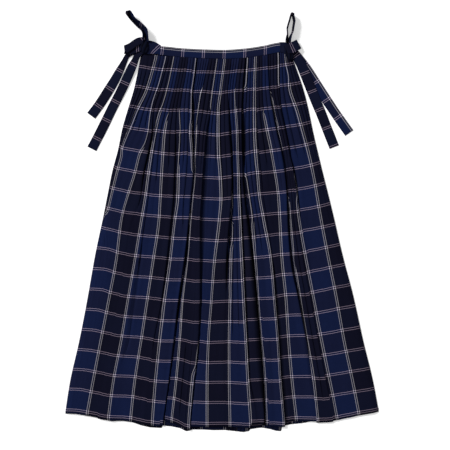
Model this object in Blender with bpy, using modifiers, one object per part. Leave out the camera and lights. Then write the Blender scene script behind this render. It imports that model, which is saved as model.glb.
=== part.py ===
# Long pleated skirt with ties at both sides, laid flat with its front up.
# X runs across the skirt, Y from the hem to the waistband, Z up from the surface that it lies on.
# The origin is at the middle of the whole outline, on that surface.
# Every size below is in millimetres. METRE turns them into Blender's metres where a mesh is made.

import bmesh
import bpy
from mathutils import Vector

METRE = 0.001

CLOTH_WALL = 1.3
SEAM_GAP = 0.3

# Knife pleats are counted across the front, from below zero because the left side turns under.
FIRST_PLEAT = -3
LAST_PLEAT = 51
CREST_SHARE = 0.7  # a pleat rises over this share of its pitch and drops over the rest

BACK_WALL = 1.2
BACK_PLEAT_HEIGHT = 1.4
FRONT_REST_HEIGHT = 3.8  # middle of the front cloth where it lies on the back's pleats
LAYER_PITCH = 1.65  # between the middles of two layers of a deep fold
BACK_INSET = 4.5  # the front's side edges reach this far past the back's and curl down round them
EDGE_CURL = 3.2
EDGE_HEIGHT = 1.1

BAND_HEIGHT = 23.0
BAND_WALL = 2.2
BAND_ROUNDING = 2.0  # of the band's corners at its ends
BAND_STATIONS = 24
BACK_BAND = {"left": -140, "right": 131, "z": BAND_WALL / 2}
FRONT_BAND = {"left": -142, "right": 133.5, "z": FRONT_REST_HEIGHT + 0.6}

# Share of the way from the waist seam to the hem at which the table below gives each line.
LEVELS = (0.0, 0.146, 0.324, 0.667, 1.0)

# Rows of vertices from the waist seam to the hem, closer together where the pleats open.
FRONT_ROWS = (0, 0.05, 0.1, 0.15, 0.2, 0.26, 0.33, 0.41, 0.5, 0.59, 0.68, 0.77, 0.86, 0.94, 1)
BACK_ROWS = (0, 0.08, 0.16, 0.26, 0.4, 0.55, 0.7, 0.85, 1)

# Lines down the cloth. top and hem are the Y of a line's ends, and waist, release, upper, middle
# and foot are its X at the five levels.
CLOTH_LINES = (
    # pleat, top, hem, waist, release, upper, middle, foot
    (-3.0, 385.5, -449.5, -185, -218, -258, -315, -368),
    (0.5, 386.5, -451.5, -155, -196, -242, -297, -348),
    (6.5, 382.5, -468, -114, -144, -173, -222, -267),
    (12.0, 379.5, -482, -80, -99, -103, -135, -163),
    (13.7, 379.0, -482, -70, -83, -67, -101, -137),
    (20.0, 377.5, -471, -31, -54, -55, -86, -117),
    (22.7, 377.2, -484, -11, -27, -44, -54, -77),
    (25.5, 377.0, -483, 7, -10, -5, -26, -36),
    (31.0, 379.2, -484, 42, 32, 38, 51, 67),
    (36.5, 382.8, -481, 78, 76, 83, 121, 144),
    (42.0, 386.0, -470, 112, 121, 149, 184, 225),
    (47.5, 382.0, -457, 148, 173, 211, 268, 322),
    (51.0, 371.0, -447, 167, 202, 236, 308, 367),
)

# A knife pleat's height as a share of its pitch, at the same five levels.
PLEAT_STEEPNESS = (0.25, 0.26, 0.24, 0.17, 0.13)

# The largest folds. Each lies over the cloth to its right, with its edge on the crest of a pleat.
# rise is its height at the five levels and tuck how far the cloth is folded back under it.
# With no tuck the edge is a plain step.
LARGE_FOLDS = (
    # crest, rise at each level, tuck at each level
    (13.7, (0.2, 3.2, 3.7, 3.7, 3.7), (0, 0, 26, 44, 54)),
    (22.7, (0.2, 3.2, 3.7, 3.7, 3.7), (0, 0, 12, 18, 6)),
    (27.7, (0.0, 0.6, 2.6, 1.2, 0.4), None),
    (32.7, (0.0, 1.4, 2.8, 0.8, 0.6), None),
    (41.7, (0.0, 0.8, 3.2, 1.6, 0.8), None),
)
FOLD_RUN = 9.0  # the cloth climbs onto a fold over this width
FOLD_FLAT = 2.5  # and is level again this far before the layers under it
FULL_TUCK = 6.0  # a tuck of this width lies flat under its fold

# How far the back's hem reaches below the front's.
BACK_HEM_DROP = (
    # pleat, drop
    (-3.0, -3),
    (6.5, -2),
    (10.0, 7),
    (20.0, 9),
    (33.0, 8),
    (42.0, 5),
    (47.5, -2),
    (51.0, -4),
)

TIE_WALL = 1.5
KNOT_CLEARANCE = 0.35
ROUNDED_CUBE_SHRINK = 1.2  # a cube with two levels of subdivision needs this much more size
LEFT_KNOT = {"at": (-169, 406.5, 7.3), "half": (7, 18, 7)}
RIGHT_KNOT = {"at": (153.5, 403.4, 7.3), "half": (8, 17.5, 7)}

# Each strip is a route through the middle of its width: x, y, z and the strip's width there.
STATIONS_PER_POINT = 2
LEFT_STRIPS = {
    "left_tie_root": (
        (-142.9, 398.2, 4.6, 22),
        (-150, 398.2, 5.2, 24),
        (-158, 401.5, 6.8, 27),
        (-169, 406, 7.2, 22),
    ),
    "left_tail_outer": (
        (-168, 402, 3.2, 20),
        (-194, 400, 3.0, 23),
        (-213, 392, 2.5, 23.5),
        (-225, 376, 1.7, 23.5),
        (-239, 351, 1.0, 23.5),
        (-266, 304, 0.95, 23.5),
        (-290, 267, 0.95, 23.5),
        (-306, 245, 0.95, 23.5),
    ),
    "left_tail_inner": (
        (-168, 400, 5.5, 18),
        (-184, 395, 5.5, 22),
        (-197, 384, 5.3, 23.5),
        (-206, 369, 4.6, 23.5),
        (-216, 350, 3.6, 23.5),
        (-232, 318, 2.9, 23.5),
        (-260, 261, 1.1, 23.5),
        (-283, 214, 0.95, 23.5),
        (-306, 167, 0.95, 23.5),
    ),
    "left_bow_side_loop": (
        (-170, 405.5, 11.4, 20),
        (-190, 406, 12.2, 26),
        (-212, 403.5, 12.4, 25),
        (-226, 400.5, 11.6, 24),
        (-229.5, 400, 9.9, 24),
        (-226, 400.5, 8.3, 24),
        (-212, 402.5, 7.9, 24),
        (-190, 405, 7.9, 24),
        (-170, 404.5, 7.9, 20),
    ),
    "left_bow_up_loop": (
        (-170, 417, 10, 11),
        (-179, 430, 11.6, 18),
        (-180.6, 445, 12.2, 22),
        (-190.5, 458.4, 12.2, 23.5),
        (-204, 469, 12.2, 23.5),
        (-216, 483, 12.2, 23.5),
        (-221.5, 487.5, 12.2, 23.5),
        (-224.5, 481, 12.2, 23.5),
        (-209, 462, 12.2, 23.5),
        (-195, 449.5, 12.2, 23),
        (-187, 439, 11.8, 20),
        (-176, 421, 10, 11),
    ),
}

RIGHT_STRIPS = {
    "right_tie_root": (
        (134.2, 404, 4.6, 22),
        (139, 404, 5.2, 22),
        (145, 404, 6.4, 22),
        (153, 403.5, 7.0, 20),
    ),
    "right_tail_outer": (
        (155, 404, 3.2, 18),
        (171, 394, 3.1, 22),
        (189, 370, 2.5, 23.5),
        (214.8, 327, 1.2, 23.5),
        (240.6, 286, 0.95, 23.5),
        (268.6, 245.5, 0.95, 23.5),
        (297.4, 205, 0.95, 23.5),
    ),
    "right_tail_inner": (
        (155, 401, 5.6, 16),
        (168, 390, 5.6, 20),
        (182, 369.5, 4.8, 23.5),
        (195, 339, 3.4, 23.5),
        (207, 309, 3.0, 23.5),
        (220, 277, 2.9, 23.5),
        (232, 249, 1.5, 23.5),
        (246, 213, 0.95, 23.5),
        (262, 172, 0.95, 23.5),
    ),
    "right_bow_side_loop": (
        (154, 397, 11.2, 16),
        (165, 402, 12, 21),
        (174, 408, 11.6, 23.5),
        (179, 411, 9.9, 23.5),
        (174, 408, 8.3, 23),
        (165, 402, 7.9, 20),
        (154, 397, 7.9, 16),
    ),
    "right_bow_up_loop": (
        (156.5, 410, 10, 11),
        (161.5, 421, 11.2, 18),
        (165.4, 440, 12, 22),
        (169.4, 463, 12, 23),
        (169, 473, 12, 23),
        (164.3, 481.5, 12, 23),
        (159.6, 477, 12, 23),
        (154.7, 458, 12, 23),
        (152.1, 442, 12, 22),
        (149.9, 425, 11.2, 18),
        (151, 411, 10, 11),
    ),
}

# The way a strip's width runs. A tail lies flat, so its width is square to its route.
STRIP_WIDTH_RUNS = {
    "left_bow_side_loop": Vector((0.12, 1, 0)),
    "right_bow_side_loop": Vector((-0.4, 0.92, 0)),
    "left_bow_up_loop": Vector((0.2, 0.23, 0.95)),
    "right_bow_up_loop": Vector((0, 0, 1)),
}

COLOURS = {
    "front": (0.0060, 0.0115, 0.0600),
    "back": (0.0052, 0.0095, 0.0500),
    "band": (0.0070, 0.0140, 0.0700),
    "tie": (0.0050, 0.0085, 0.0420),
}
ROUGHNESS = 0.88


def smooth(marks, values, at):
    """The value at a place on the smooth curve through the values at the marks."""
    at = min(max(at, marks[0]), marks[-1])
    last = len(marks) - 1
    i = 0
    while i < last - 1 and at > marks[i + 1]:
        i += 1

    def slope(j):
        low, high = max(j - 1, 0), min(j + 1, last)
        return (values[high] - values[low]) / (marks[high] - marks[low])

    span = marks[i + 1] - marks[i]
    t = (at - marks[i]) / span
    start = (2 * t**3 - 3 * t**2 + 1) * values[i] + (t**3 - 2 * t**2 + t) * span * slope(i)
    end = (3 * t**2 - 2 * t**3) * values[i + 1] + (t**3 - t**2) * span * slope(i + 1)
    return start + end


def straight(marks, values, at):
    """The value at a place on the straight lines between the marks."""
    for i in range(len(marks) - 1):
        if at <= marks[i + 1]:
            t = (at - marks[i]) / (marks[i + 1] - marks[i])
            return values[i] + (values[i + 1] - values[i]) * max(t, 0)
    return values[-1]


def ease(t):
    t = min(max(t, 0), 1)
    return t * t * (3 - 2 * t)


def across(pleat, level):
    """X of the cloth's line at a pleat, at a share of the way down."""
    pleats = [row[0] for row in CLOTH_LINES]
    return straight(pleats, [smooth(LEVELS, row[3:], level) for row in CLOTH_LINES], pleat)


def seam_y(x):
    """Y of the seam between the panels and their bands, at a place across."""
    return smooth([row[3] for row in CLOTH_LINES], [row[1] for row in CLOTH_LINES], x)


def down(pleat, level, hem_drop=0, inset=0):
    """Y of the cloth at a pleat, at a share of the way down."""
    top = seam_y(across(pleat, 0) + inset)
    hem = smooth([row[0] for row in CLOTH_LINES], [row[2] for row in CLOTH_LINES], pleat) - hem_drop
    return top + (hem - top) * level


def pleat_height(pleat, level):
    pitch = across(pleat + 0.5, level) - across(pleat - 0.5, level)
    return pitch * smooth(LEVELS, PLEAT_STEEPNESS, level)


def fold_edge(fold, level):
    return across(fold[0], level)


def fold_tuck(fold, level):
    return max(smooth(LEVELS, fold[2], level), 0) if fold[2] else 0


def fold_rise(fold, pleat, x, level):
    """How much the cloth at a place is lifted by a fold whose edge lies to its right."""
    if pleat > fold[0]:
        return 0
    start = fold_edge(fold, level) - fold_tuck(fold, level) - FOLD_RUN
    return smooth(LEVELS, fold[1], level) * ease((x - start) / (FOLD_RUN - FOLD_FLAT))


def front_height(pleat, x, level):
    """Z of the front's cloth where it has no pleat, on top of every fold that passes under it."""
    return FRONT_REST_HEIGHT + sum(fold_rise(fold, pleat, x, level) for fold in LARGE_FOLDS)


def front_point(pleat, crest, level):
    """A point of the front on a pleat's crest or in its valley."""
    x = across(pleat, level)
    height = pleat_height(pleat, level) if crest else 0
    return Vector((x, down(pleat, level), front_height(pleat, x, level) + height))


def fold_back(fold, level):
    """The three points of a large fold between its edge and the cloth that it lies on."""
    edge = front_point(fold[0], True, level)
    past_edge = fold[0] + 1 - CREST_SHARE
    beside = front_point(past_edge, False, level)
    tuck = fold_tuck(fold, level)
    near = front_height(past_edge, edge.x, level)
    far = front_height(past_edge, edge.x - tuck, level)
    flat = (
        Vector((edge.x, edge.y, near + LAYER_PITCH)),
        Vector((edge.x - tuck, edge.y, far + LAYER_PITCH)),
        Vector((edge.x - tuck, edge.y, far)),
    )
    steps = [edge.lerp(beside, share) for share in (0.25, 0.5, 0.75)]
    return [step.lerp(point, ease(tuck / FULL_TUCK)) for step, point in zip(steps, flat)]


def front_row(level):
    """The front's section at one level, between two side edges that curl down round the back's."""
    left, right = (front_point(pleat, False, level) for pleat in (FIRST_PLEAT, LAST_PLEAT))
    row = [Vector((left.x, left.y, EDGE_HEIGHT)), left + Vector((EDGE_CURL, 0, 0))]
    for i in range(FIRST_PLEAT + 1, LAST_PLEAT - 1):
        crest = i + CREST_SHARE
        row.append(front_point(i, False, level))
        row.append(front_point(crest, True, level))
        for fold in LARGE_FOLDS:
            if fold[2] and round(fold[0] - crest, 3) == 0:
                row.extend(fold_back(fold, level))
    row.append(front_point(LAST_PLEAT - 1, False, level))
    return row + [right - Vector((EDGE_CURL, 0, 0)), Vector((right.x, right.y, EDGE_HEIGHT))]


def back_row(level):
    """The top of the back's section at one level, its side edges inside the front's."""
    row = []
    for i in range(FIRST_PLEAT, LAST_PLEAT + 1):
        for share in (0, CREST_SHARE):
            pleat = min(i + share, LAST_PLEAT)
            inset = BACK_INSET * (1 - 2 * (pleat - FIRST_PLEAT) / (LAST_PLEAT - FIRST_PLEAT))
            drop = straight(*zip(*BACK_HEM_DROP), pleat)
            height = min(pleat_height(pleat, level), BACK_PLEAT_HEIGHT) if share else 0
            y = down(pleat, level, drop, inset)
            row.append(Vector((across(pleat, level) + inset, y, BACK_WALL + height)))
    return row[:-1]


def material(name, colour):
    made = bpy.data.materials.new(name)
    made.use_nodes = True
    shader = made.node_tree.nodes["Principled BSDF"]
    shader.inputs["Base Color"].default_value = (*colour, 1)
    shader.inputs["Roughness"].default_value = ROUGHNESS
    shader.inputs["Metallic"].default_value = 0
    return made


def add(name, mesh, collection, colour):
    made = bpy.data.objects.new(name, mesh)
    mesh.materials.append(material(name + "_cloth", colour))
    collection.objects.link(made)
    return made


def surface(name, rows):
    """An open sheet through rows of points, facing up where the rows run down the page."""
    mesh = bpy.data.meshes.new(name)
    shape = bmesh.new()
    grid = [[shape.verts.new(point * METRE) for point in row] for row in rows]
    for above, below in zip(grid, grid[1:]):
        for i in range(len(above) - 1):
            shape.faces.new((above[i], below[i], below[i + 1], above[i + 1]))
    shape.to_mesh(mesh)
    shape.free()
    return mesh


def thicken(made, wall):
    solidify = made.modifiers.new("wall", "SOLIDIFY")
    solidify.thickness = wall * METRE
    solidify.offset = 0


def make_front(collection):
    mesh = surface("front_panel", [front_row(level) for level in FRONT_ROWS])
    thicken(add("front_panel", mesh, collection, COLOURS["front"]), CLOTH_WALL)


def make_back(collection):
    """The back's pleats stand up from an underside that lies flat."""
    mesh = surface("back_panel", [back_row(level) for level in BACK_ROWS])
    shape = bmesh.new()
    shape.from_mesh(mesh)
    made = bmesh.ops.extrude_face_region(shape, geom=list(shape.faces))
    for item in made["geom"]:
        if isinstance(item, bmesh.types.BMVert):
            item.co.z = 0
    bmesh.ops.recalc_face_normals(shape, faces=list(shape.faces))
    shape.to_mesh(mesh)
    shape.free()
    add("back_panel", mesh, collection, COLOURS["back"])


def make_band(name, band, collection):
    """A waistband over the panels' top edge, with its corners rounded off."""
    rows = []
    for below_top in (0, BAND_ROUNDING, BAND_HEIGHT / 2, BAND_HEIGHT - BAND_ROUNDING, BAND_HEIGHT):
        inward = BAND_ROUNDING if below_top in (0, BAND_HEIGHT) else 0
        left, right = band["left"] + inward, band["right"] - inward
        row = []
        for i in range(BAND_STATIONS + 1):
            x = left + (right - left) * i / BAND_STATIONS
            row.append(Vector((x, seam_y(x) + SEAM_GAP + BAND_HEIGHT - below_top, band["z"])))
        rows.append(row)
    thicken(add(name, surface(name, rows), collection, COLOURS["band"]), BAND_WALL)


def make_knot(name, knot, collection, cutters):
    """A drawn-up knot, and the same form a little larger, which cuts the strips that enter it."""
    for grown, target in ((0, collection), (KNOT_CLEARANCE, cutters)):
        bpy.ops.mesh.primitive_cube_add(size=2 * METRE, location=Vector(knot["at"]) * METRE)
        made = bpy.context.object
        made.name = name if not grown else name + "_clearance"
        made.scale = [(half + grown) * ROUNDED_CUBE_SHRINK for half in knot["half"]]
        round_off = made.modifiers.new("round", "SUBSURF")
        round_off.levels = 2
        round_off.render_levels = 2
        for old in list(made.users_collection):
            old.objects.unlink(made)
        target.objects.link(made)
        if grown:
            made.hide_render = True
            made.display_type = "WIRE"
            cutter = made
        else:
            made.data.materials.append(material(name + "_cloth", COLOURS["tie"]))
    return cutter


def make_strip(name, route, collection, knot_cutter):
    """A folded strip of tie cloth along a route, cut off where it enters its knot."""
    marks = list(range(len(route)))
    axes = list(zip(*route))
    count = (len(route) - 1) * STATIONS_PER_POINT
    places = [i / STATIONS_PER_POINT for i in range(count + 1)]
    points = [Vector([smooth(marks, axis, at) for axis in axes[:3]]) for at in places]
    rows = []
    for i, (at, point) in enumerate(zip(places, points)):
        along = (points[min(i + 1, count)] - points[max(i - 1, 0)]).normalized()
        wide = STRIP_WIDTH_RUNS.get(name)
        if wide is None:
            wide = along.cross(Vector((0, 0, 1)))
        wide = (wide - along * wide.dot(along)).normalized()
        half = smooth(marks, axes[3], at) / 2
        rows.append([point + wide * half, point, point - wide * half])
    made = add(name, surface(name, rows), collection, COLOURS["tie"])
    thicken(made, TIE_WALL)
    cut = made.modifiers.new("knot", "BOOLEAN")
    cut.operation = "DIFFERENCE"
    cut.solver = "EXACT"
    cut.object = knot_cutter


def new_collection(name):
    made = bpy.data.collections.new(name)
    bpy.context.scene.collection.children.link(made)
    return made


def main():
    for old in list(bpy.data.objects):
        bpy.data.objects.remove(old, do_unlink=True)
    skirt = new_collection("pleated_skirt")
    cutters = new_collection("cutters")
    make_back(skirt)
    make_front(skirt)
    make_band("back_waistband", BACK_BAND, skirt)
    make_band("front_waistband", FRONT_BAND, skirt)
    for side, knot, strips in (("left", LEFT_KNOT, LEFT_STRIPS), ("right", RIGHT_KNOT, RIGHT_STRIPS)):
        cutter = make_knot(side + "_bow_knot", knot, skirt, cutters)
        for name, route in strips.items():
            make_strip(name, route, skirt, cutter)


main()
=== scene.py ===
import math
import random

import bpy
import numpy as np
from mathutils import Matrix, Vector, noise


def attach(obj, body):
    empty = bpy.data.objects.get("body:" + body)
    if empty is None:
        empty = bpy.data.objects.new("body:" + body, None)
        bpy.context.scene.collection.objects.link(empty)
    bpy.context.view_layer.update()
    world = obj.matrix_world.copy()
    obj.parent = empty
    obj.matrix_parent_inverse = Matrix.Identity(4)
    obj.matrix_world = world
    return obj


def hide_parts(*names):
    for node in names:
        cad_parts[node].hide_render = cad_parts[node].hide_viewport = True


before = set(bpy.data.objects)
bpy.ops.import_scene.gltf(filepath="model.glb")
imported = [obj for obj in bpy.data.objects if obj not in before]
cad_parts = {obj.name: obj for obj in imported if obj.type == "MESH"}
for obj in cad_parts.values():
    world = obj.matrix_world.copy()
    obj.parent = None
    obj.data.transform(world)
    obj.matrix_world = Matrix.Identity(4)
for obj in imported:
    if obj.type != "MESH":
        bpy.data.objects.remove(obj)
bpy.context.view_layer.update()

# A long side-tie skirt in a woven windowpane check, laid flat with its front up.
# Lengths are metres, with mm for the small ones. The cloth's tracks are read off the picture in pixels
# and turned into metres by one scale, so that the folds lie where the picture has them.
mm = 0.001
pixelSize = 2.34 * mm
middleColumn = 222.2  # the picture's column and row that fall on the frame's origin
middleRow = 219.9


def placeX(column):
    return (column - middleColumn) * pixelSize


def placeY(row):
    return (middleRow - row) * pixelSize


def hermite(marks, values, slopes, at):
    # smooth curve through the values, with these slopes at the marks
    spot = np.clip(np.searchsorted(marks, at, side="right") - 1, 0, len(marks) - 2)
    span = marks[spot + 1] - marks[spot]
    t = (at - marks[spot]) / span
    start = (2 * t**3 - 3 * t**2 + 1) * values[spot] + (t**3 - 2 * t**2 + t) * span * slopes[spot]
    end = (3 * t**2 - 2 * t**3) * values[spot + 1] + (t**3 - t**2) * span * slopes[spot + 1]
    return start + end


def curveThrough(marks, values, at):
    # smooth curve that never overshoots between the values
    marks, values = np.asarray(marks, float), np.asarray(values, float)
    at = np.clip(np.asarray(at, float), marks[0], marks[-1])
    if len(marks) == 1:
        return np.full_like(at, values[0])
    steps = np.diff(values) / np.diff(marks)
    slopes = np.zeros(len(marks))
    slopes[0], slopes[-1] = steps[0], steps[-1]
    for i in range(1, len(marks) - 1):
        if steps[i - 1] * steps[i] > 0:
            slopes[i] = 2 * steps[i - 1] * steps[i] / (steps[i - 1] + steps[i])
    return hermite(marks, values, slopes, at)


def bentThrough(marks, values, at):
    # smooth curve that may overshoot a little, as a bent strip does
    return hermite(marks, values, np.gradient(values, marks), at)


def ease(t):
    t = np.clip(t, 0, 1)
    return t * t * (3 - 2 * t)


def blurDown(grid, rows):
    # softens a grid of numbers from row to row
    reach = max(1, int(3 * rows))
    weights = np.exp(-0.5 * (np.arange(-reach, reach + 1) / rows) ** 2)
    weights /= weights.sum()
    padded = np.concatenate([np.repeat(grid[:1], reach, 0), grid, np.repeat(grid[-1:], reach, 0)])
    return sum(w * padded[i : i + len(grid)] for i, w in enumerate(weights))


def plug(tree, value, socket):
    # a wire is linked to the socket, and anything else is the socket's own value
    if isinstance(value, Wire):
        tree.links.new(value.socket, socket)
    else:
        socket.default_value = value


class Wire:
    # one socket of a shader, with Python's own operators
    def __init__(self, tree, socket):
        self.tree = tree
        self.socket = socket

    def maths(self, operation, *others):
        node = self.tree.nodes.new("ShaderNodeMath")
        node.operation = operation
        for place, value in enumerate((self, *others)):
            plug(self.tree, value, node.inputs[place])
        return Wire(self.tree, node.outputs[0])

    def __add__(self, other):
        return self.maths("ADD", other)

    __radd__ = __add__

    def __sub__(self, other):
        return self.maths("SUBTRACT", other)

    def __rsub__(self, other):
        return self.maths("MULTIPLY_ADD", -1.0, other)

    def __mul__(self, other):
        return self.maths("MULTIPLY", other)

    __rmul__ = __mul__

    def __truediv__(self, other):
        return self.maths("DIVIDE", other)

    def __rtruediv__(self, other):
        return self.maths("POWER", -1.0) * other

    def fraction(self):
        return self.maths("FRACT")

    def size(self):
        return self.maths("ABSOLUTE")

    def sine(self):
        return self.maths("SINE")

    def below(self, other):
        return self.maths("LESS_THAN", other)


class Shades:
    # a material being made
    def __init__(self, name):
        self.material = bpy.data.materials.new(name)
        self.material.use_nodes = True
        self.tree = self.material.node_tree
        self.tree.nodes.clear()

    def node(self, kind, settings=None, outputs=(0,), **sockets):
        # any node: its type, its settings, which outputs are wanted, and what its sockets get
        made = self.tree.nodes.new(kind)
        for name, value in (settings or {}).items():
            setattr(made, name, value)
        for name, value in sockets.items():
            plug(self.tree, value, made.inputs[name.replace("_", " ")])
        wires = [Wire(self.tree, made.outputs[place]) for place in outputs]
        return wires[0] if len(wires) == 1 else wires

    def blend(self, share, first, second):
        # mix of two colours, each a wire or plain red, green and blue
        node = self.tree.nodes.new("ShaderNodeMix")
        node.data_type = "RGBA"
        plug(self.tree, share, node.inputs[0])
        for place, colour in ((6, first), (7, second)):
            plug(self.tree, colour if isinstance(colour, Wire) else (*colour, 1), node.inputs[place])
        return Wire(self.tree, node.outputs[2])

    def scaled(self, colour, amount):
        # a colour times a number
        return self.node("ShaderNodeVectorMath", {"operation": "SCALE"}, Vector=colour, Scale=amount)

    def finish(self, surface):
        self.node("ShaderNodeOutputMaterial", outputs=(), Surface=surface)
        return self.material


checkCloth = {
    "warpRepeat": 51.5 * mm,  # between two ivory lines
    "weftRepeat": 48.4 * mm,  # between two mauve lines
    "ivoryApart": 2.15 * mm,  # each line is a pair, this far either side of its middle
    "mauveApart": 2.34 * mm,
    "ivoryHalf": 0.62 * mm,
    "mauveHalf": 0.46 * mm,
    "lineSoft": 0.22 * mm,
    "thread": 0.62 * mm,
    "blueOnBright": (0.0050, 0.0094, 0.0395),
    "blueOnDim": (0.0056, 0.0078, 0.0290),
    "darkOnBright": (0.0040, 0.0050, 0.0165),
    "darkOnDim": (0.0037, 0.0038, 0.0120),
    "ivory": (0.475, 0.455, 0.495),  # of the threads themselves, which show half the time
    "mauveOnBlue": (0.49, 0.40, 0.54),
    "mauveOnDark": (0.40, 0.31, 0.41),
    "brightCrossing": 1.3,  # how much lighter the cloth is where two lines cross
    # painted shade: how far the colour darkens at the bottom of the grooves and in the knots
    "grooveShade": 0.88,
    # thick and thin places along the warp's and the weft's threads, and cloudiness over both
    "warpSlub": (900.0, 45.0, 1.0),
    "weftSlub": (40.0, 850.0, 1.0),
    "cloudScale": 26.0,
    # how far each makes the ground lighter, above the least tone
    "leastTone": 0.58,
    "crossingTone": 0.10,
    "warpTone": 0.34,
    "weftTone": 0.30,
    "cloudTone": 0.22,
    "bump": 0.32,
    "bumpHeight": 0.18 * mm,
    "roughness": 0.88,
    "shine": 0.05,
}


def clothMaterial(name, gain=1.0, darkGain=(1.0, 1.0, 1.0), lineGain=1.0):
    spec = checkCloth
    shades = Shades(name)
    uv = shades.node("ShaderNodeUVMap", {"uv_map": "cloth"})
    across, along = shades.node("ShaderNodeSeparateXYZ", outputs=(0, 1), Vector=uv)

    def repeats(place, repeat, apart, half):
        # whether a place is in an even band, and whether it lies on one of the check's lines
        bands = place / repeat
        even = (bands * 0.5).fraction().below(0.5)
        off = ((bands + 0.5).fraction() - 0.5).size() * repeat
        line = shades.node("ShaderNodeMapRange", {"interpolation_type": "SMOOTHSTEP"},
                           Value=(off - apart).size(), From_Min=half + spec["lineSoft"],
                           From_Max=half - spec["lineSoft"], To_Min=0.0, To_Max=1.0)
        return even, line

    blue, ivoryLine = repeats(across, spec["warpRepeat"], spec["ivoryApart"], spec["ivoryHalf"])
    bright, mauveLine = repeats(along, spec["weftRepeat"], spec["mauveApart"], spec["mauveHalf"])

    # plain weave: one thread over, one under
    perThread = math.pi / spec["thread"]
    crossing = (across * perThread).sine() * (along * perThread).sine()
    warpSlub, weftSlub = (
        shades.node("ShaderNodeTexNoise", {"noise_dimensions": "3D"}, Scale=1.0, Detail=2.0, Roughness=0.6,
                    Vector=shades.node("ShaderNodeMapping", {"vector_type": "POINT"}, Vector=uv,
                                       Scale=spec[slub]))
        for slub in ("warpSlub", "weftSlub"))
    cloudy = shades.node("ShaderNodeTexNoise", {"noise_dimensions": "3D"}, Vector=uv,
                         Scale=spec["cloudScale"], Detail=3.0, Roughness=0.55)

    onDim, onBright = (tuple(np.array(spec[key]) * darkGain) for key in ("darkOnDim", "darkOnBright"))
    inBlue = shades.blend(bright, spec["blueOnDim"], spec["blueOnBright"])
    inDark = shades.blend(bright, onDim, onBright)
    weaveTone = (crossing * spec["crossingTone"] + warpSlub * spec["warpTone"] + weftSlub * spec["weftTone"]
                 + cloudy * spec["cloudTone"] + spec["leastTone"])
    ground = shades.scaled(shades.blend(blue, inDark, inBlue), weaveTone * gain)
    ivory = shades.scaled(spec["ivory"], (warpSlub * 0.4 + 0.8) * lineGain)
    mauve = shades.scaled(shades.blend(blue, spec["mauveOnDark"], spec["mauveOnBlue"]),
                          (weftSlub * 0.4 + 0.8) * lineGain)
    # each thread shows half the time, and where two lines cross both threads are light
    warp = shades.blend(ivoryLine, ground, ivory)
    weft = shades.blend(mauveLine, ground, mauve)
    colour = shades.blend(crossing * 0.3 + 0.5, weft, warp)
    colour = shades.scaled(colour, ivoryLine * mauveLine * spec["brightCrossing"] + 1)
    # painted shade: the colour is darkened where the groove shade map says, as little light reaches the
    # bottom of the deep grooves and the knot's creases
    depthAndShade = shades.node("ShaderNodeSeparateXYZ",
                        Vector=shades.node("ShaderNodeUVMap", {"uv_map": "grooveShade"}))
    colour = shades.scaled(colour, 1 - depthAndShade * spec["grooveShade"])

    height = crossing.size() * 0.6 + warpSlub * 0.25 + weftSlub * 0.25
    normal = shades.node("ShaderNodeBump", Strength=spec["bump"], Distance=spec["bumpHeight"],
                         Height=height)
    rough = warpSlub * 0.1 + (spec["roughness"] - 0.05)
    return shades.finish(shades.node("ShaderNodeBsdfPrincipled", Base_Color=colour, Roughness=rough,
                                     Normal=normal, IOR=1.45, Specular_IOR_Level=spec["shine"]))


print("cloth materials")
panelCheck = clothMaterial("panelCheck")
bandCheck = clothMaterial("bandCheck")
tieCheck = clothMaterial("tieCheck", gain=0.95, darkGain=(1.2, 1.3, 1.27), lineGain=1.2)
backCheck = clothMaterial("backPanelCheck", gain=0.92)


def meshFrom(name, points, faces, uvs, material, paintedShades=None):
    # a smooth mesh object from points, faces, and each point's cloth coordinate and painted shade
    mesh = bpy.data.meshes.new(name)
    mesh.from_pydata([tuple(map(float, p)) for p in points], [], faces)
    corners = np.zeros(len(mesh.loops), int)
    mesh.loops.foreach_get("vertex_index", corners)
    paintedShades = np.zeros(len(points)) if paintedShades is None else np.ravel(paintedShades)
    for layer, values in (("cloth", uvs), ("grooveShade", np.stack([paintedShades, np.zeros_like(paintedShades)], 1))):
        mesh.uv_layers.new(name=layer)
        mesh.uv_layers[layer].data.foreach_set("uv", np.asarray(values, float)[corners].ravel())
    mesh.shade_smooth()
    mesh.materials.append(material)
    made = bpy.data.objects.new(name, mesh)
    bpy.context.scene.collection.objects.link(made)
    return made


def gridFaces(rows, columns):
    return [(r * columns + c, (r + 1) * columns + c, (r + 1) * columns + c + 1, r * columns + c + 1)
            for r in range(rows - 1) for c in range(columns - 1)]


def ringFaces(rings, around):
    # the wall of a tube, from each ring of points to the next
    faces = []
    for r in range(rings - 1):
        for c in range(around):
            d = (c + 1) % around
            faces.append((r * around + c, r * around + d, (r + 1) * around + d, (r + 1) * around + c))
    return faces


def standFor(piece, node):
    # every piece rides on the skirt's one body and takes the place of one CAD node
    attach(piece, "root")
    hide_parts(node)


# Picture rows at which the tracks below give their column. hid marks where a line runs inside a fold.
trackRows = (57, 91, 112, 132, 152, 173, 196, 217, 258, 300, 341, 380, 420)
hid = None

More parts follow.
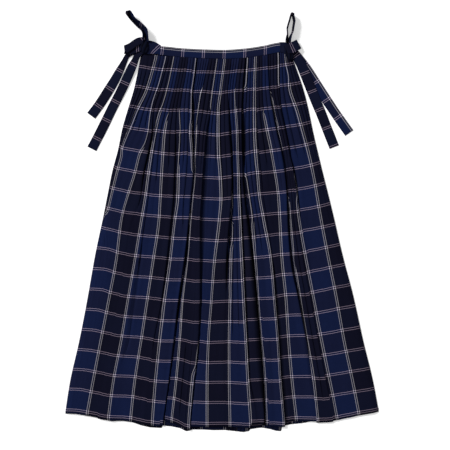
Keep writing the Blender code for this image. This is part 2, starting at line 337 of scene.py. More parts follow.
frontPanel = {
    "rows": 122,
    "clothLength": 862 * mm,
    "rest": 4.4 * mm,  # height of the cloth where it lies on the back panel
    "restAtSeam": 3.5 * mm,
    "edgeHeight": 1.5 * mm,  # the side edges come down to this height
    "layer": 0.62 * mm,  # one layer of cloth in a stack
    "pleatHeight": (0.9, 1.2, 1.1, 0.6, 0.25, 0.15),  # in mm, at the pleat rows
    "openRows": (100, 215),  # the small pleats lose their grip between these picture rows
    "openPull": 0.5,
    "turnUnder": 9 * mm,  # side edges and hem turn under this far
    "crease": 0.30 * mm,
    "swell": 1.5 * mm,  # height of the broad soft waves where the cloth falls free
    # The woven lines and the side edges: number of the ivory line, pleats counted from the left, then
    # the column at each of the track rows.
    "lines": (
        (hid, -3, (140.9, 134, 127.7, 122, 118, 112.3, 107.6, 103.4, 94.5, 87, 79, 70.2, 63.8)),
        (0, 0.5, (156, 146.3, 136.3, 128.4, 120.5, 114.2, 109, 104.2, hid, hid, hid, hid, hid)),
        (1, 3.5, (165.5, 156.8, 150.3, 147, 139.5, 134.2, 126.8, 121.4, 116.4, 108.6, 100.7, 93.4, 86)),
        (2, 6.5, (173.5, 166.3, 160.1, 155.3, 151.5, 148.3, 145.2, 141.6, 134.7, 127.4, 120.8, 113.5, 108)),
        (3, 9, (hid, hid, 169.5, 164.7, 163.1, 161.8, 160.5, 159.3, 153.4, 147.1, 141.2, 135.2, 130.8)),
        (4, 12, (hid, hid, 180, 181, 180, 178.5, 178, 175, 170.3, 164.5, 159.5, 155.6, 152.6)),
        (5, 14.5, (195.3, 191.6, 191, 190.5, 192, 192.4, hid, hid, hid, hid, hid, hid, hid)),
        (7, 20, (hid, 202.5, 198.8, 196, 195, 194, 192, 190.7, 187.2, 182, 179.5, 176.3, 172)),
        (8, 22.5, (217, 212.6, 210, hid, hid, hid, hid, hid, hid, hid, 196, 192.2, 188.6)),
        (9, 25.5, (225, 220.6, 218, 218, 218.4, 220, 221, 219.4, 214.5, 211.2, 208.2, 207.1, 207)),
        (10, 28.5, (hid, hid, hid, hid, hid, hid, hid, 231.9, 230.9, 229.8, 229.2, 229.3, 230)),
        (11, 31, (hid, 235.2, 236, 237.5, 238, 238.5, 239, 240, 241.9, 244, 246, 247.9, 250.8)),
        (12, 33.5, (247.5, 245.5, hid, hid, hid, 244.6, 248.5, 251.6, 255.6, 258.4, 261.7, 265, 266.5)),
        (13, 36.5, (255.5, 254.5, 254.5, 254.6, 255.5, 257.4, 259.4, 263, 270.2, 274.1, 277.6, 280, 283.7)),
        (14, 39, (hid, hid, 263.5, 267.4, 271.7, 275.5, 278.7, 280, 282.2, 286.4, 289, 292.3, 296.8)),
        (15, 42, (hid, 270.6, 274.2, 279, 283.6, hid, 288.9, 290.3, 294.2, 300.9, 307.7, 314.3, 318.6)),
        (16, 44.5, (278.5, 279, hid, hid, hid, 292.7, 296.3, 298.8, 305.8, 313.8, 321.8, 329.7, 337.5)),
        (17, 47.5, (285.5, 289.9, 297, 302.5, 307.8, 312.5, 316.7, 320.3, 328, 336.4, 344.1, 352.4, 360.2)),
        (hid, 51, (292.5, 303.7, 308.8, 312.8, 317.4, 322.5, 328.3, 333.5, 343, 354, 363.5, 373, 380.5)),
    ),
    # Pleat edge under which a line is tucked where it doesn't show; 0 turns under at the side, and 6
    # lies in one fold with 5 lower down.
    "tucked": {0: -3, 3: 9, 4: 12, 5: 15, 6: 15, 7: 20, 8: 23, 10: 28, 11: 31, 12: 33, 14: 39, 15: 41,
               16: 45},
    "together": (5, 6),
    # Picture rows between which only half of an ivory pair shows, as the other half turns under
    # its pleat's edge.
    "halves": {
        0: ((150, 230),),
        1: ((50, 92), (101, 150)),
        2: ((50, 113),),
        3: ((100, 121),),
        4: ((100, 243),),
        5: ((50, 127),),
        7: ((80, 126), (152, 290)),
        8: ((50, 120), (320, 372)),
        10: ((212, 246),),
        11: ((85, 110), (217, 325)),
        12: ((50, 112), (165, 225)),
        14: ((100, 114),),
        15: ((85, 108), (127, 170), (190, 320)),
        16: ((50, 112), (160, 200)),
        17: ((66, 86),),
    },
    # where the cloth's own lines begin and end: pleat count, picture row of the seam and of the hem
    "ends": (
        (-3, 54.6, 412.5),
        (0.5, 54.7, 412.8),
        (3.5, 55.6, 415),
        (6.5, 56.4, 419),
        (9, 57, 420.6),
        (12, 57.7, 423.4),
        (15, 58.1, 423.4),
        (20, 58.6, 422.6),
        (22.5, 58.8, 427.4),
        (25.5, 58.8, 426.6),
        (31, 57.9, 426.8),
        (36.5, 56.3, 425.4),
        (39, 55.4, 421.6),
        (42, 54.2, 421),
        (44.5, 52.8, 419),
        (47.5, 51.4, 415),
        (51, 48.6, 411.4),
    ),
    # The larger folds, each with its right edge on top: pleat, columns of the edge at the track rows,
    # then at the fold rows its pull (how much of the hidden cloth it takes, against 1 for a small
    # pleat) and its height in mm.
    "foldRows": (112, 152, 200, 300, 420),
    "folds": (
        (5, (hid, 159.8, 153.4, 152, 148, 143.3, 141, hid, hid, hid, hid, hid, hid),
         (2, 4, 3, 1, 1), (1, 2.8, 1.8, 0.8, 0.5)),
        (7, (hid, hid, hid, hid, hid, hid, hid, hid, 139.3, 132.6, 128, hid, hid),
         (1, 1, 2, 3, 1), (0.8, 0.8, 1.4, 2.2, 0.8)),
        (11, (hid, hid, hid, hid, hid, 174.4, 173.4, 171.2, 166.8, 161.4, hid, hid, hid),
         (1, 1, 3, 2, 1), (0.8, 1, 2.2, 1.6, 0.8)),
        (14, (hid, hid, hid, 188.2, 187.8, 186.4, 184, hid, hid, hid, hid, hid, hid),
         (1, 2, 2, 1, 1), (0.8, 1.3, 1, 0.5, 0.5)),
        (15, (hid, 192.3, 192, 192.3, 193.2, 193.4, 191.2, 189.2, 184.3, 178.2, 173.6, 168.8, 163.3),
         (3, 6, 20, 60, 60), (1.6, 3, 4.6, 5.4, 3.6)),
        (23, (hid, 213.4, 210.8, 206.8, 205, 203.2, 201.9, 200.5, 200.2, 200.2, 198.6, 194.6, 190.4),
         (1, 4, 8, 12, 5), (1, 3, 4, 4.6, 3)),
        (28, (hid, 227.6, 229, 229.6, 231.1, 231.9, 231.8, 229.8, 226.3, hid, hid, hid, hid),
         (2, 4, 4, 0, 0), (3.4, 5.8, 5.4, 1.6, 1)),
        (32, (hid, hid, hid, hid, hid, hid, 240.6, 241.4, 243.1, 245, 247.2, 249.6, hid),
         (1, 1, 4, 5, 1), (0.8, 1, 2.8, 3, 1.4)),
        (33, (hid, 243, 241.6, 241.5, 242, 242.7, 244.6, 247.3, 252, 256, 259.6, 262.6, 264.6),
         (4, 6, 5, 5, 5), (4.6, 6.4, 4.6, 3.2, 2.6)),
        (37, (hid, hid, hid, hid, hid, hid, hid, hid, hid, 275.7, 279, 281.5, 285.2),
         (1, 1, 2, 8, 8), (0.8, 0.8, 1.5, 3.8, 3.4)),
        (41, (hid, 269.2, 272.6, 276.5, 281.3, 284.9, 287, 287.6, 290.5, 298.4, 306.3, 311.8, 316.6),
         (1, 4, 5, 3, 1), (2, 4.6, 4.6, 3.6, 1.2)),
        (45, (hid, 279.7, 280.9, 284, 288.5, 294, 297.6, 300.4, hid, hid, hid, hid, hid),
         (3, 4, 3, 1, 1), (1.2, 2.8, 2.6, 0.9, 0.5)),
    ),
    # The grooves that open to the right of folds, at these picture rows: pleat, how deep each is as a share
    # of the height
    #  that is there (which also sets its painted shade), then its widths in pixels.
    "grooveRows": (98, 112, 122, 132, 142, 152, 163, 173, 185, 200, 217, 235, 258, 280, 300, 320,
                   341, 380, 420),
    "grooves": (
        (5, 0.95, (0, 0, 0.4, 0.8, 1.1, 1.6, 1.5, 1.2, 0.7, 0, 0, 0, 0, 0, 0, 0, 0, 0, 0)),
        (7, 0.50, (0, 0, 0, 0, 0, 0, 0, 0, 0, 0, 0, 0, 1.3, 2.4, 2.6, 2, 1.2, 0, 0)),
        (11, 0.60, (0, 0, 0, 0, 1.2, 1.8, 2.2, 2.4, 2.6, 2.6, 2.6, 2.4, 2, 1.6, 0.8, 0, 0, 0, 0)),
        (15, 1, (1.2, 2.6, 2.4, 1.9, 1.4, 1, 0.7, 0.6, 0.6, 0.6, 0.9, 1.4, 2.2, 2.2, 2.1, 1.8, 1.5,
                 1.2, 1.1)),
        (23, 0.75, (0, 0, 1.2, 2.4, 3.4, 4, 4.2, 4.4, 4.4, 4, 4.2, 4.2, 3.2, 2, 1.5, 1.2, 1.1, 1, 0.8)),
        (28, 1, (0, 0.6, 1.2, 1.7, 1.6, 1.5, 1.4, 1.2, 1.2, 1.7, 2.8, 2.8, 2.2, 0.9, 0, 0, 0, 0, 0)),
        (32, 0.70, (0, 0, 0, 0, 0, 0, 0, 0, 0.6, 1.2, 1.6, 1.7, 1.8, 1.9, 2, 1.8, 1.6, 1, 0)),
        (33, 1, (1, 1.8, 3.2, 3.8, 3.8, 3.5, 2.8, 1.6, 2, 2.4, 2, 1.8, 1.8, 1.9, 2, 1.9, 1.8, 1.7, 1.5)),
        (37, 0.70, (0, 0, 0, 0, 0, 0, 0, 0, 0, 0, 0, 0, 0, 1.6, 2.6, 3, 3.2, 3.2, 3)),
        (41, 0.95, (0.6, 1.2, 1.7, 1.5, 1.4, 1.5, 1.5, 1.4, 0.9, 1, 2.2, 2.4, 2.6, 2.6, 2.4, 2, 1.4, 0.5, 0)),
        (45, 0.90, (0.4, 0.6, 0.8, 1, 1.1, 1.2, 1.1, 1.5, 1.6, 1.2, 0.6, 0, 0, 0, 0, 0, 0, 0, 0)),
    ),
    # how far below its straight place the check lies, in pixels: pleat, then at the weft lines named
    "weftLines": (1, 3, 5, 7, 9, 12, 15, 17, 18),
    "weftShift": (
        (-3, (-2, -2.5, -2.5, -2, -1.7, -0.2, 0, -0.5, 0.2)),
        (-1, (-0.2, -1.5, -1.7, -2, -1.2, -0.2, 0.2, -0.7, 0)),
        (1, (0.5, 0, 0, -0.2, -0.2, 0.2, 0.5, -0.3, 0.4)),
        (3, (0.5, 0.2, 1.2, 1.5, 1.4, 1.4, 0.2, -0.2, -0.2)),
        (4, (0.2, 0, 1.5, 2, 1.7, 1.7, 0.3, -0.5, -0.4)),
        (5, (-0.2, -0.5, 0, 1.5, 1.9, 2.4, 0.6, -0.1, 0.4)),
        (7, (-0.8, -1.6, 0.2, 2.2, 2.4, 2.5, 0.7, -0.5, 0)),
        (8, (-0.5, -0.9, 1, 2.5, 2.5, 2.3, 0.3, -1, -0.5)),
        (10, (-1, -2, 1, 2, 2.5, 2.5, 1, 0, 0.8)),
        (11, (-1.4, -2.3, 0.3, 1.8, 2.3, 2.8, 1.8, 0.8, 1)),
        (13, (-0.8, -2.8, -1, 1.3, 2.5, 2.8, 2, 1.7, 2)),
        (14, (0, -2, 0, 1.5, 2.5, 2.8, 2, 1.9, 0.8)),
        (15, (0, -1.3, 0, 1.5, 2.3, 2.5, -0.2, -2.3, -3.6)),
        (17, (-0.3, -1.6, 0, 1.3, 2.3, 2.5, 0, -1.8, -2.2)),
        (20, (-0.5, -2.3, -0.8, 1, 2.4, 3.2, 0.3, -0.8, -0.6)),
        (22, (-0.8, -1.5, -1.5, 0, 0.8, 1.3, 0.6, 0.6, 1.5)),
        (23, (-0.5, -1.3, 0.5, 1.5, 1.5, 0.8, -1, -1.8, -1.6)),
        (25, (-0.3, -0.3, 1.5, 2.5, 2.8, 2.3, 1, -0.5, -0.2)),
        (27, (-0.5, -2, 0, 1.5, 2.3, 1.3, 0.2, -1, -0.8)),
        (28, (-0.5, -1.8, -2, 0.3, 1.9, 1.3, 0, -0.5, -0.6)),
        (30, (-1, -2.5, -1.8, 0, 1.5, 1.5, 1, 0.5, 0.3)),
        (31, (-0.8, -2.8, -1.5, 0, 0.8, 0.3, -1, -2.4, -3)),
        (32, (-0.5, -2.8, -0.8, 0.3, 0.3, -0.5, -2.3, -3.3, -3.3)),
        (33, (-0.5, -2, -0.3, 0.3, 0, -1, -2.3, -2.8, -2)),
        (34, (-1, -2.8, -0.8, -0.5, -0.3, -0.5, -1, -0.8, -0.5)),
        (35, (-0.8, -3.1, -2.5, -1, -0.5, -0.5, -0.5, -0.3, 0)),
        (36, (-1, -2.5, -2, -0.8, -1, -0.3, -0.6, 0.2, 1)),
        (37, (-0.8, -1.5, -0.5, -0.8, -0.5, -1.3, -2.4, -3.2, -3)),
        (38, (-0.8, -1.8, -0.8, -0.3, 0, -0.8, -0.8, -1.5, -1.5)),
        (40, (-0.8, -1.8, -1.3, -0.3, 0.5, -0.8, -0.8, -1, -0.4)),
        (41, (-0.5, -1.5, -1.5, -1, 0.3, -0.8, 0.3, 0.3, 1)),
        (42, (-0.3, -2.3, -2, -0.8, 0.5, 0.8, 2, 1.6, 1.2)),
        (43, (-0.3, -0.8, -1.8, -0.5, 1, 0.5, 2.5, 2.3, 1.6)),
        (44, (-0.5, -1, -1.8, 0.3, 0.8, -0.8, 0.3, -0.3, 0.6)),
        (45, (-1, -1.8, -0.8, -0.5, -0.3, -1, 0.5, -0.4, 0.4)),
        (47, (-0.5, -1.5, -2.3, -2, -1.5, -2.3, 0.3, 0, 0.2)),
        (50, (0.4, -1.2, -2, -1.8, -1.3, -1.8, 0.6, 0.2, 0.4)),
    ),
    # how many pixels the hem hangs below the row that its ends give, at these picture columns
    "hemColumns": (60, 105, 112, 120, 200, 300, 330, 385),
    "hemDrop": (1.3, 1.3, 2, 1.2, 1, 0.8, 0.8, 0.3),
    "jumps": (5, 11, 14, 15, 23, 28, 31, 33, 34, 37, 41, 44, 45),  # edges at which the check steps
    "stepRandom": 0.15,  # pixels that the check steps by at any other pleat
    "seed": 4,
}

backPanel = {
    "rows": 70,
    "clothLength": 868 * mm,
    "rest": 0.45 * mm,
    "restAtSeam": 0.45 * mm,
    "edgeHeight": 0.45 * mm,
    "layer": 0.34 * mm,
    "pleatHeight": (0.5, 0.6, 0.5, 0.3, 0.2, 0.2),
    "openRows": (110, 260),
    "openPull": 0.6,
    "turnUnder": 6 * mm,
    "crease": 0.08 * mm,
    "swell": 0.3 * mm,
    "lines": (
        (hid, -3, (144, 137.2, 130.6, 124.2, 120.2, 114.5, 109.8, 105.6, 96.7, 89.2, 81.2, 72.4, 66)),
        (3, 9, (hid, hid, 171.5, 169.5, 167.7, 165.6, 163.5, 161.6, 157.8, 154, 150.2, 146.6, 143)),
        (4, 12, (hid, hid, 182.5, 181.2, 180, 178.8, 177.4, 176.2, 173.8, 171.3, 168.8, 166.4, 164)),
        (6, 17, (hid, hid, 202, 202, 202, 202, 201.9, 201.9, 201.8, 201.7, 201.6, 201.5, 201.5)),
        (7, 20, (hid, hid, 209.5, 210.5, 211.5, 212.5, 213.6, 214.7, 216.8, 218.8, 221, 223, 225)),
        (9, 25.5, (224, 224.6, 225.5, 226.8, 228.2, 229.5, 231, 232.4, 235.2, 238.2, 241, 244, 247)),
        (10, 28, (hid, hid, 232.5, 234.3, 236.2, 238.2, 240.5, 242.5, 246.6, 251, 255.2, 259.6, 264)),
        (11, 31, (hid, hid, 241, 243.4, 245.8, 248.4, 251.2, 253.8, 258.9, 264.2, 269.4, 274.8, 280.5)),
        (14, 39, (hid, hid, 266, 269, 272, 275.2, 278.8, 282.2, 288.8, 295.6, 302.2, 309, 316)),
        (17, 47.5, (283.5, 287.9, 295, 299.5, 303.8, 308.5, 313.3, 317.3, 325, 333.4, 341.1, 349.4, 357.2)),
        (hid, 51, (290.3, 301.5, 306.6, 310.6, 315.2, 320.3, 326.1, 331.3, 340.8, 351.8, 361.3, 370.8,
                   378.3)),
    ),
    "halves": {},
    "ends": (
        (-3, 54.8, 410),
        (3.5, 55.8, 413),
        (6.5, 56.6, 418),
        (9, 57.2, 424.6),
        (12, 57.9, 425.6),
        (17, 58.4, 428.6),
        (20, 58.8, 429.6),
        (25.5, 58.8, 430.2),
        (28, 58.6, 429),
        (31, 57.9, 427.6),
        (36, 56.5, 424.6),
        (39, 55.6, 421),
        (47.5, 53.2, 412.5),
        (51, 49.4, 409),
    ),
    "tucked": {},
    "together": (),
    "foldRows": (112, 420),
    "folds": (),
    "grooveRows": (112, 420),
    "grooves": (),
    "weftLines": (1, 18),
    "weftShift": ((-3, (-2, 0)), (51, (-1, 0))),
    # picture row of this hem at these columns, with the steps that its own pleats give it
    "hemColumns": (60, 108, 117, 123, 132, 141, 150, 161.4, 162.4, 171, 180, 186, 189, 192, 204, 213,
                   225, 237, 243, 249.2, 250.2, 258, 262, 270, 276, 281.2, 282.4, 291, 303, 315, 345, 385),
    "hemRows": (411, 420.2, 421.4, 421.4, 422.6, 425.8, 427.8, 428.4, 426, 426.7, 428.6, 431.6, 431.2,
                429.9, 430, 430.6, 430.4, 431.6, 432.4, 431.5, 429.6, 428.4, 428, 429.4, 431.2,
                431.6, 426.6, 424.6, 423.4, 421, 416, 410),
    "jumps": (),
    "stepRandom": 0.15,
    "seed": 9,
}

panelShape = {
    "firstPleat": -3,
    "middlePleat": 25,
    "lastPleat": 51,
    "firstWeftLine": 32.8 * mm,  # from the waist seam to the first mauve pair
    "pleatRows": (57, 112, 160, 217, 300, 420),  # picture rows at which each panel's pleatHeight is given
    "blurRows": (0.9, 1.3, 1.0),
    "visible": (0.0, 0.2, 0.42, 0.64, 0.84, 1.0),  # shares of a pleat's visible width that get points
    "leastShown": 0.3,  # no pleat shows less than this, in pixels
    "leastPanel": 0.2,  # nor less than this share of the way from edge to edge
    # the most that the side pleats hide, as a share of what shows there, and the check's width that
    # they stay under
    "sideHides": (0.6, 0.78),
    "gridStep": 1.4 * mm,  # spacing at which the stack of layers is worked out
    "gridMargin": 20 * mm,
    "climb": 0.42,  # steepest slope at which cloth climbs over the layers under it
    "climbReach": 14,  # in grid steps
    "waveRun": (2 * mm, 26 * mm),  # least and most width over which a large fold rises to its edge
    "squeezed": 12 * mm,  # the waist seam presses the pleats flat over this length
    "seamPress": 0.3,  # how much of their height they keep in the seam
    "sideFall": 13 * mm,
    "sideFold": 1.2 * mm,  # how far the turned side edge lies below the cloth
    "least": 0.25 * mm,  # no point of the panel's face lies lower
    "hemFold": (0.22 * mm, 0.26 * mm),  # how far the two rows of the turned hem step down
    "grooveFloor": 1.7 * mm,
    "grooveLeast": 0.3 * mm,
    "grooveClear": 1.25,  # nothing is tucked within this many of its widths
    "groovePoints": (0.45, 0.8, 1.15),  # and the pleat's points crowd at these
    "grooveFull": (1.6 * mm, 2.2 * mm),  # widths at which a groove is as deep, and its painted shade as dark, as it gets
    # A pleat keeps a fold where it tucks more than this under its edge, and ripples where it tucks
    # less: at the picture rows below, in mm.
    "tuckRows": (57, 105, 130, 160, 200, 260, 420),
    "leastTuck": (0.3, 0.4, 0.8, 1.4, 2.2, 2.8, 3.0),
    "tuckSoft": 1.3 * mm,  # the one turns into the other over this much more
    "ripple": (0.2, 1.0),
    "roundness": 1.3,  # a pleat is roundest past its middle
    "evened": 1.4 * mm,  # a tuck smaller than this lies evenly in the smooth cloth
    "evenHalf": 0.9 * mm,
    "turnGap": 0.12 * mm,  # a tuck's two layers turn over this width
    "atCrest": 0.05 * mm,  # a fold's crest is read this far before its edge
    "edgeGap": (0.4 * mm, 6 * mm),  # a pleat begins this far from its edge, unless it tucks this much
    "letGo": 45,  # a fold's edge or a line that ends goes back among its neighbours over these rows
    "stepRows": (62, 92),  # the check's steps at the small pleats set in between these rows
    "freeRows": (130, 260),  # and its broad waves between these
    "waveMiddle": 225,  # picture column from which they spread
    "broadWave": (46, 2.2),  # waves a metre, across and along
    "longCrease": (95, 7),
    "crossCrease": (30, 22),
}
tuckPoints = 6  # points in each tuck, between one pleat's visible points and the next's
perPleat = len(panelShape["visible"]) + tuckPoints
sidePoints = 3  # points that turn under at each side edge


def between(rows, ends):
    # rises from 0 to 1 between two picture rows
    return ease((rows - ends[0]) / (ends[1] - ends[0]))


def trackAt(columns, rows):
    # column of a track at picture rows, nan where it is hidden
    found = np.full(len(rows), np.nan)
    run = []
    for row, column in (*zip(trackRows, columns), (None, None)):
        if column is not None:
            run.append((row, column))
            continue
        if run:
            marks, values = zip(*run)
            low = marks[0] if marks[0] > trackRows[0] else -math.inf
            high = marks[-1] if marks[-1] < trackRows[-1] else math.inf
            inside = (rows >= low) & (rows <= high)
            found[inside] = curveThrough(marks, values, rows[inside])
        run = []
    return found


def rowsDown(spec, count, levels):
    # picture rows of the cloth's own rows at this pleat, from the waist seam to the hem
    counts, seams, hems = zip(*spec["ends"])
    seam, hem = curveThrough(counts, seams, count), curveThrough(counts, hems, count)
    return seam + (hem - seam) * levels


def settledTracks(spec, tracks, levels):
    # Where every line and fold lies on every row. Past its ends, a track eases back to where it would
    # lie between the longer tracks beside it.
    settled = {}
    for count, track in sorted(tracks.items(), key=lambda pair: -np.isfinite(pair[1]).sum()):
        known = np.flatnonzero(np.isfinite(track))
        if len(known) == len(levels):
            settled[count] = track
            continue
        beside = sorted(settled)
        base = np.array([np.interp(count, beside, [settled[other][i] for other in beside])
                         for i in range(len(levels))])
        offset = np.interp(range(len(levels)), known, (track - base)[known])
        rows = rowsDown(spec, count, levels)
        away = np.maximum(rows[known[0]] - rows, rows - rows[known[-1]])
        settled[count] = base + offset * (1 - ease(away / panelShape["letGo"]))
    return settled


def pleatPlan(spec, levels):
    # where every pleat's edge lies, how much cloth each hides, and the ivory lines that show, in pixels
    first = panelShape["firstPleat"]
    pleats = np.arange(first, panelShape["lastPleat"] + 1)
    downRows = rowsDown(spec, panelShape["middlePleat"], levels)
    warp = checkCloth["warpRepeat"] / pixelSize

    lines = [(number, count, trackAt(columns, rowsDown(spec, count, levels)))
             for number, count, columns in spec["lines"]]
    tracks = {float(count): track for _, count, track in lines}
    opened = between(downRows, spec["openRows"])
    pulls = 1 - (1 - spec["openPull"]) * np.tile(opened[:, None], (1, len(pleats)))
    for pleat, columns, pull, _ in spec["folds"]:
        tracks[float(pleat)] = trackAt(columns, rowsDown(spec, pleat, levels))
        pulls[:, pleat - first] = curveThrough(spec["foldRows"], pull, downRows)
    settled = settledTracks(spec, tracks, levels)

    halfRows = 5  # the half that turns under does so over these rows
    halves = {}
    for number, count, _ in lines:
        rows = rowsDown(spec, count, levels)
        halves[number] = sum((ease((rows - start) / halfRows) * ease((end - rows) / halfRows)
                              for start, end in spec["halves"].get(number, ())), 0 * rows)

    edges = np.zeros((len(levels), len(pleats)))
    hidden = np.zeros_like(edges)
    shown = []
    order = sorted(settled)
    leastApart = panelShape["leastShown"] * np.arange(len(pleats))
    most, within = panelShape["sideHides"]
    for i in range(len(levels)):
        edges[i] = np.interp(pleats, order, [settled[count][i] for count in order])
        edges[i] = np.maximum.accumulate(edges[i] - leastApart) + leastApart
        seen = [(count, track[i], number * warp, halves[number][i]) for number, count, track in lines
                if number is not None and np.isfinite(track[i])]
        shown.append(seen)
        for (count, column, cloth, half), (nextCount, nextColumn, nextCloth, _) in zip(seen, seen[1:]):
            spare = max(nextCloth - cloth - (nextColumn - column), 0)
            inside = [p - first for p in pleats if count <= p < nextCount]
            pull = pulls[i, inside]
            if count == inside[0] + first:
                pull[0] *= half
            hidden[i, inside] = spare * pull / max(pull.sum(), 1e-6)
        # past the outermost lines no further ivory line may show, so little is hidden there
        for inside, width in (([p - first for p in pleats[1:] if p < seen[0][0]], seen[0][1] - edges[i, 0]),
                              ([p - first for p in pleats[:-1] if p > seen[-1][0]],
                               edges[i, -1] - seen[-1][1])):
            hidden[i, inside] = max(0, min(most * width, within * warp - width)) / max(len(inside), 1)
    edgeBlur, tuckBlur, _ = panelShape["blurRows"]
    return pleats, blurDown(edges, edgeBlur), blurDown(hidden, tuckBlur), shown


def draped(grid):
    # the least height at which cloth lies over the layers, never steeper than it can climb
    fall = panelShape["climb"] * panelShape["gridStep"]
    top = grid.copy()
    for k in range(1, panelShape["climbReach"] + 1):
        top[:, k:] = np.maximum(top[:, k:], grid[:, :-k] - fall * k)
        top[:, :-k] = np.maximum(top[:, :-k], grid[:, k:] - fall * k)
    for _ in range(2):
        top[:, 1:-1] = (top[:, :-2] + 2 * top[:, 1:-1] + top[:, 2:]) / 4
    return np.maximum(top, grid)


def evenedOut(columns, edgeX, tuck):
    # where nothing is tucked, the points of a tuck lie evenly in the smooth cloth
    for k in range(1, edgeX.shape[1] - 1):
        right = k * perPleat
        left = right - tuckPoints - 1
        flat = 1 - ease(tuck[:, k] / panelShape["evened"])
        spread = flat * np.minimum(panelShape["evenHalf"], 0.1 * (edgeX[:, k + 1] - edgeX[:, k - 1]))
        before, after = list(columns[left]), list(columns[right])
        middleZ = (before[2] + after[2]) / 2
        before[0] = before[0] + ((before[0] + after[0]) / 2 - spread - before[0]) * flat
        after[0] = after[0] + ((before[0] + after[0]) / 2 + spread - after[0]) * flat
        for end in (before, after):
            end[2] = end[2] + (middleZ - end[2]) * flat
        columns[left], columns[right] = before, after
        for j in range(1, tuckPoints + 1):
            t = j / (tuckPoints + 1)
            columns[left + j] = [old + (start + (end - start) * t - old) * flat
                                 for old, start, end in zip(columns[left + j], before, after)]


def turnedUnder(column, way, reach):
    # the three columns of points that turn under at a side edge
    x, y, z = column
    low = np.maximum(z - panelShape["sideFold"], 0.3 * mm)
    return [(x + way * 0.25 * mm, y, (z + low) / 2 + 0.2 * mm), (x - way * 1.5 * mm, y, low),
            (x - way * reach, y, low)]


def clothAcross(spec, gridX, gridZ, shown):
    # the cloth's own length across, set right at every ivory line that shows or lies in a tuck
    first = panelShape["firstPleat"]
    panelPoints = len(panelShape["visible"])
    warp = checkCloth["warpRepeat"] / pixelSize
    length = np.zeros_like(gridX)
    length[:, 1:] = np.cumsum(np.hypot(np.diff(gridX, axis=1), np.diff(gridZ, axis=1)), axis=1)
    clothU = np.zeros_like(gridX)
    for i in range(len(gridX)):
        seen = {round(value / warp) for _, _, value, _ in shown[i]}
        hiddenLines = []
        for number, edge in spec["tucked"].items():
            if number in seen:
                continue
            offset = -2 if edge == first else -3  # which of the tuck's points the line lies at
            if number in spec["together"] and not seen & set(spec["together"]):
                edge = spec["tucked"][spec["together"][0]]
                offset = -4 if number == spec["together"][0] else -1
            hiddenLines.append((edge - 0.01, offset, number * warp, None))
        at, cloth = [], []
        for count, column, value, half in sorted(shown[i] + hiddenLines):
            begin = sidePoints + (math.floor(count + (0.01 if half is None else 0)) - first) * perPleat
            if half is None:
                at.append(length[i, begin + column])
            elif count == int(count):
                at.append(length[i, begin - tuckPoints - 1])  # the crest of the panel before this edge
            else:
                span = slice(begin, begin + panelPoints)
                onPanel = float(np.interp(placeX(column), gridX[i, span], length[i, span]))
                at.append(onPanel + half * (length[i, begin + panelPoints - 1] - onPanel))
            cloth.append(value * pixelSize)
        clothU[i] = np.interp(length[i], at, cloth)
        clothU[i] += np.minimum(length[i] - at[0], 0) + np.maximum(length[i] - at[-1], 0)
    return blurDown(clothU, panelShape["blurRows"][2])


def crease(spec, gridX, gridY, gridZ, levels, downRows):
    # small creases that run down the cloth, and broad waves where it falls free
    middle = placeX(panelShape["waveMiddle"])
    free = between(downRows, panelShape["freeRows"])
    (waveX, waveY), (longX, longY), (crossX, crossY) = (
        panelShape[key] for key in ("broadWave", "longCrease", "crossCrease"))
    for i, level in enumerate(levels):
        fade = min(1, level * 12) * spec["crease"]
        for j in range(gridX.shape[1]):
            x, y = gridX[i, j], gridY[i, j]
            wave = noise.noise(((x - middle) * waveX * (1 - 0.35 * level), y * waveY, spec["seed"] + 2.5))
            gridZ[i, j] += (fade * (noise.noise((x * longX, y * longY, spec["seed"]))
                                    + 0.6 * noise.noise((x * crossX, y * crossY, 3.1)))
                            + spec["swell"] * free[i] * max(wave, -0.6))


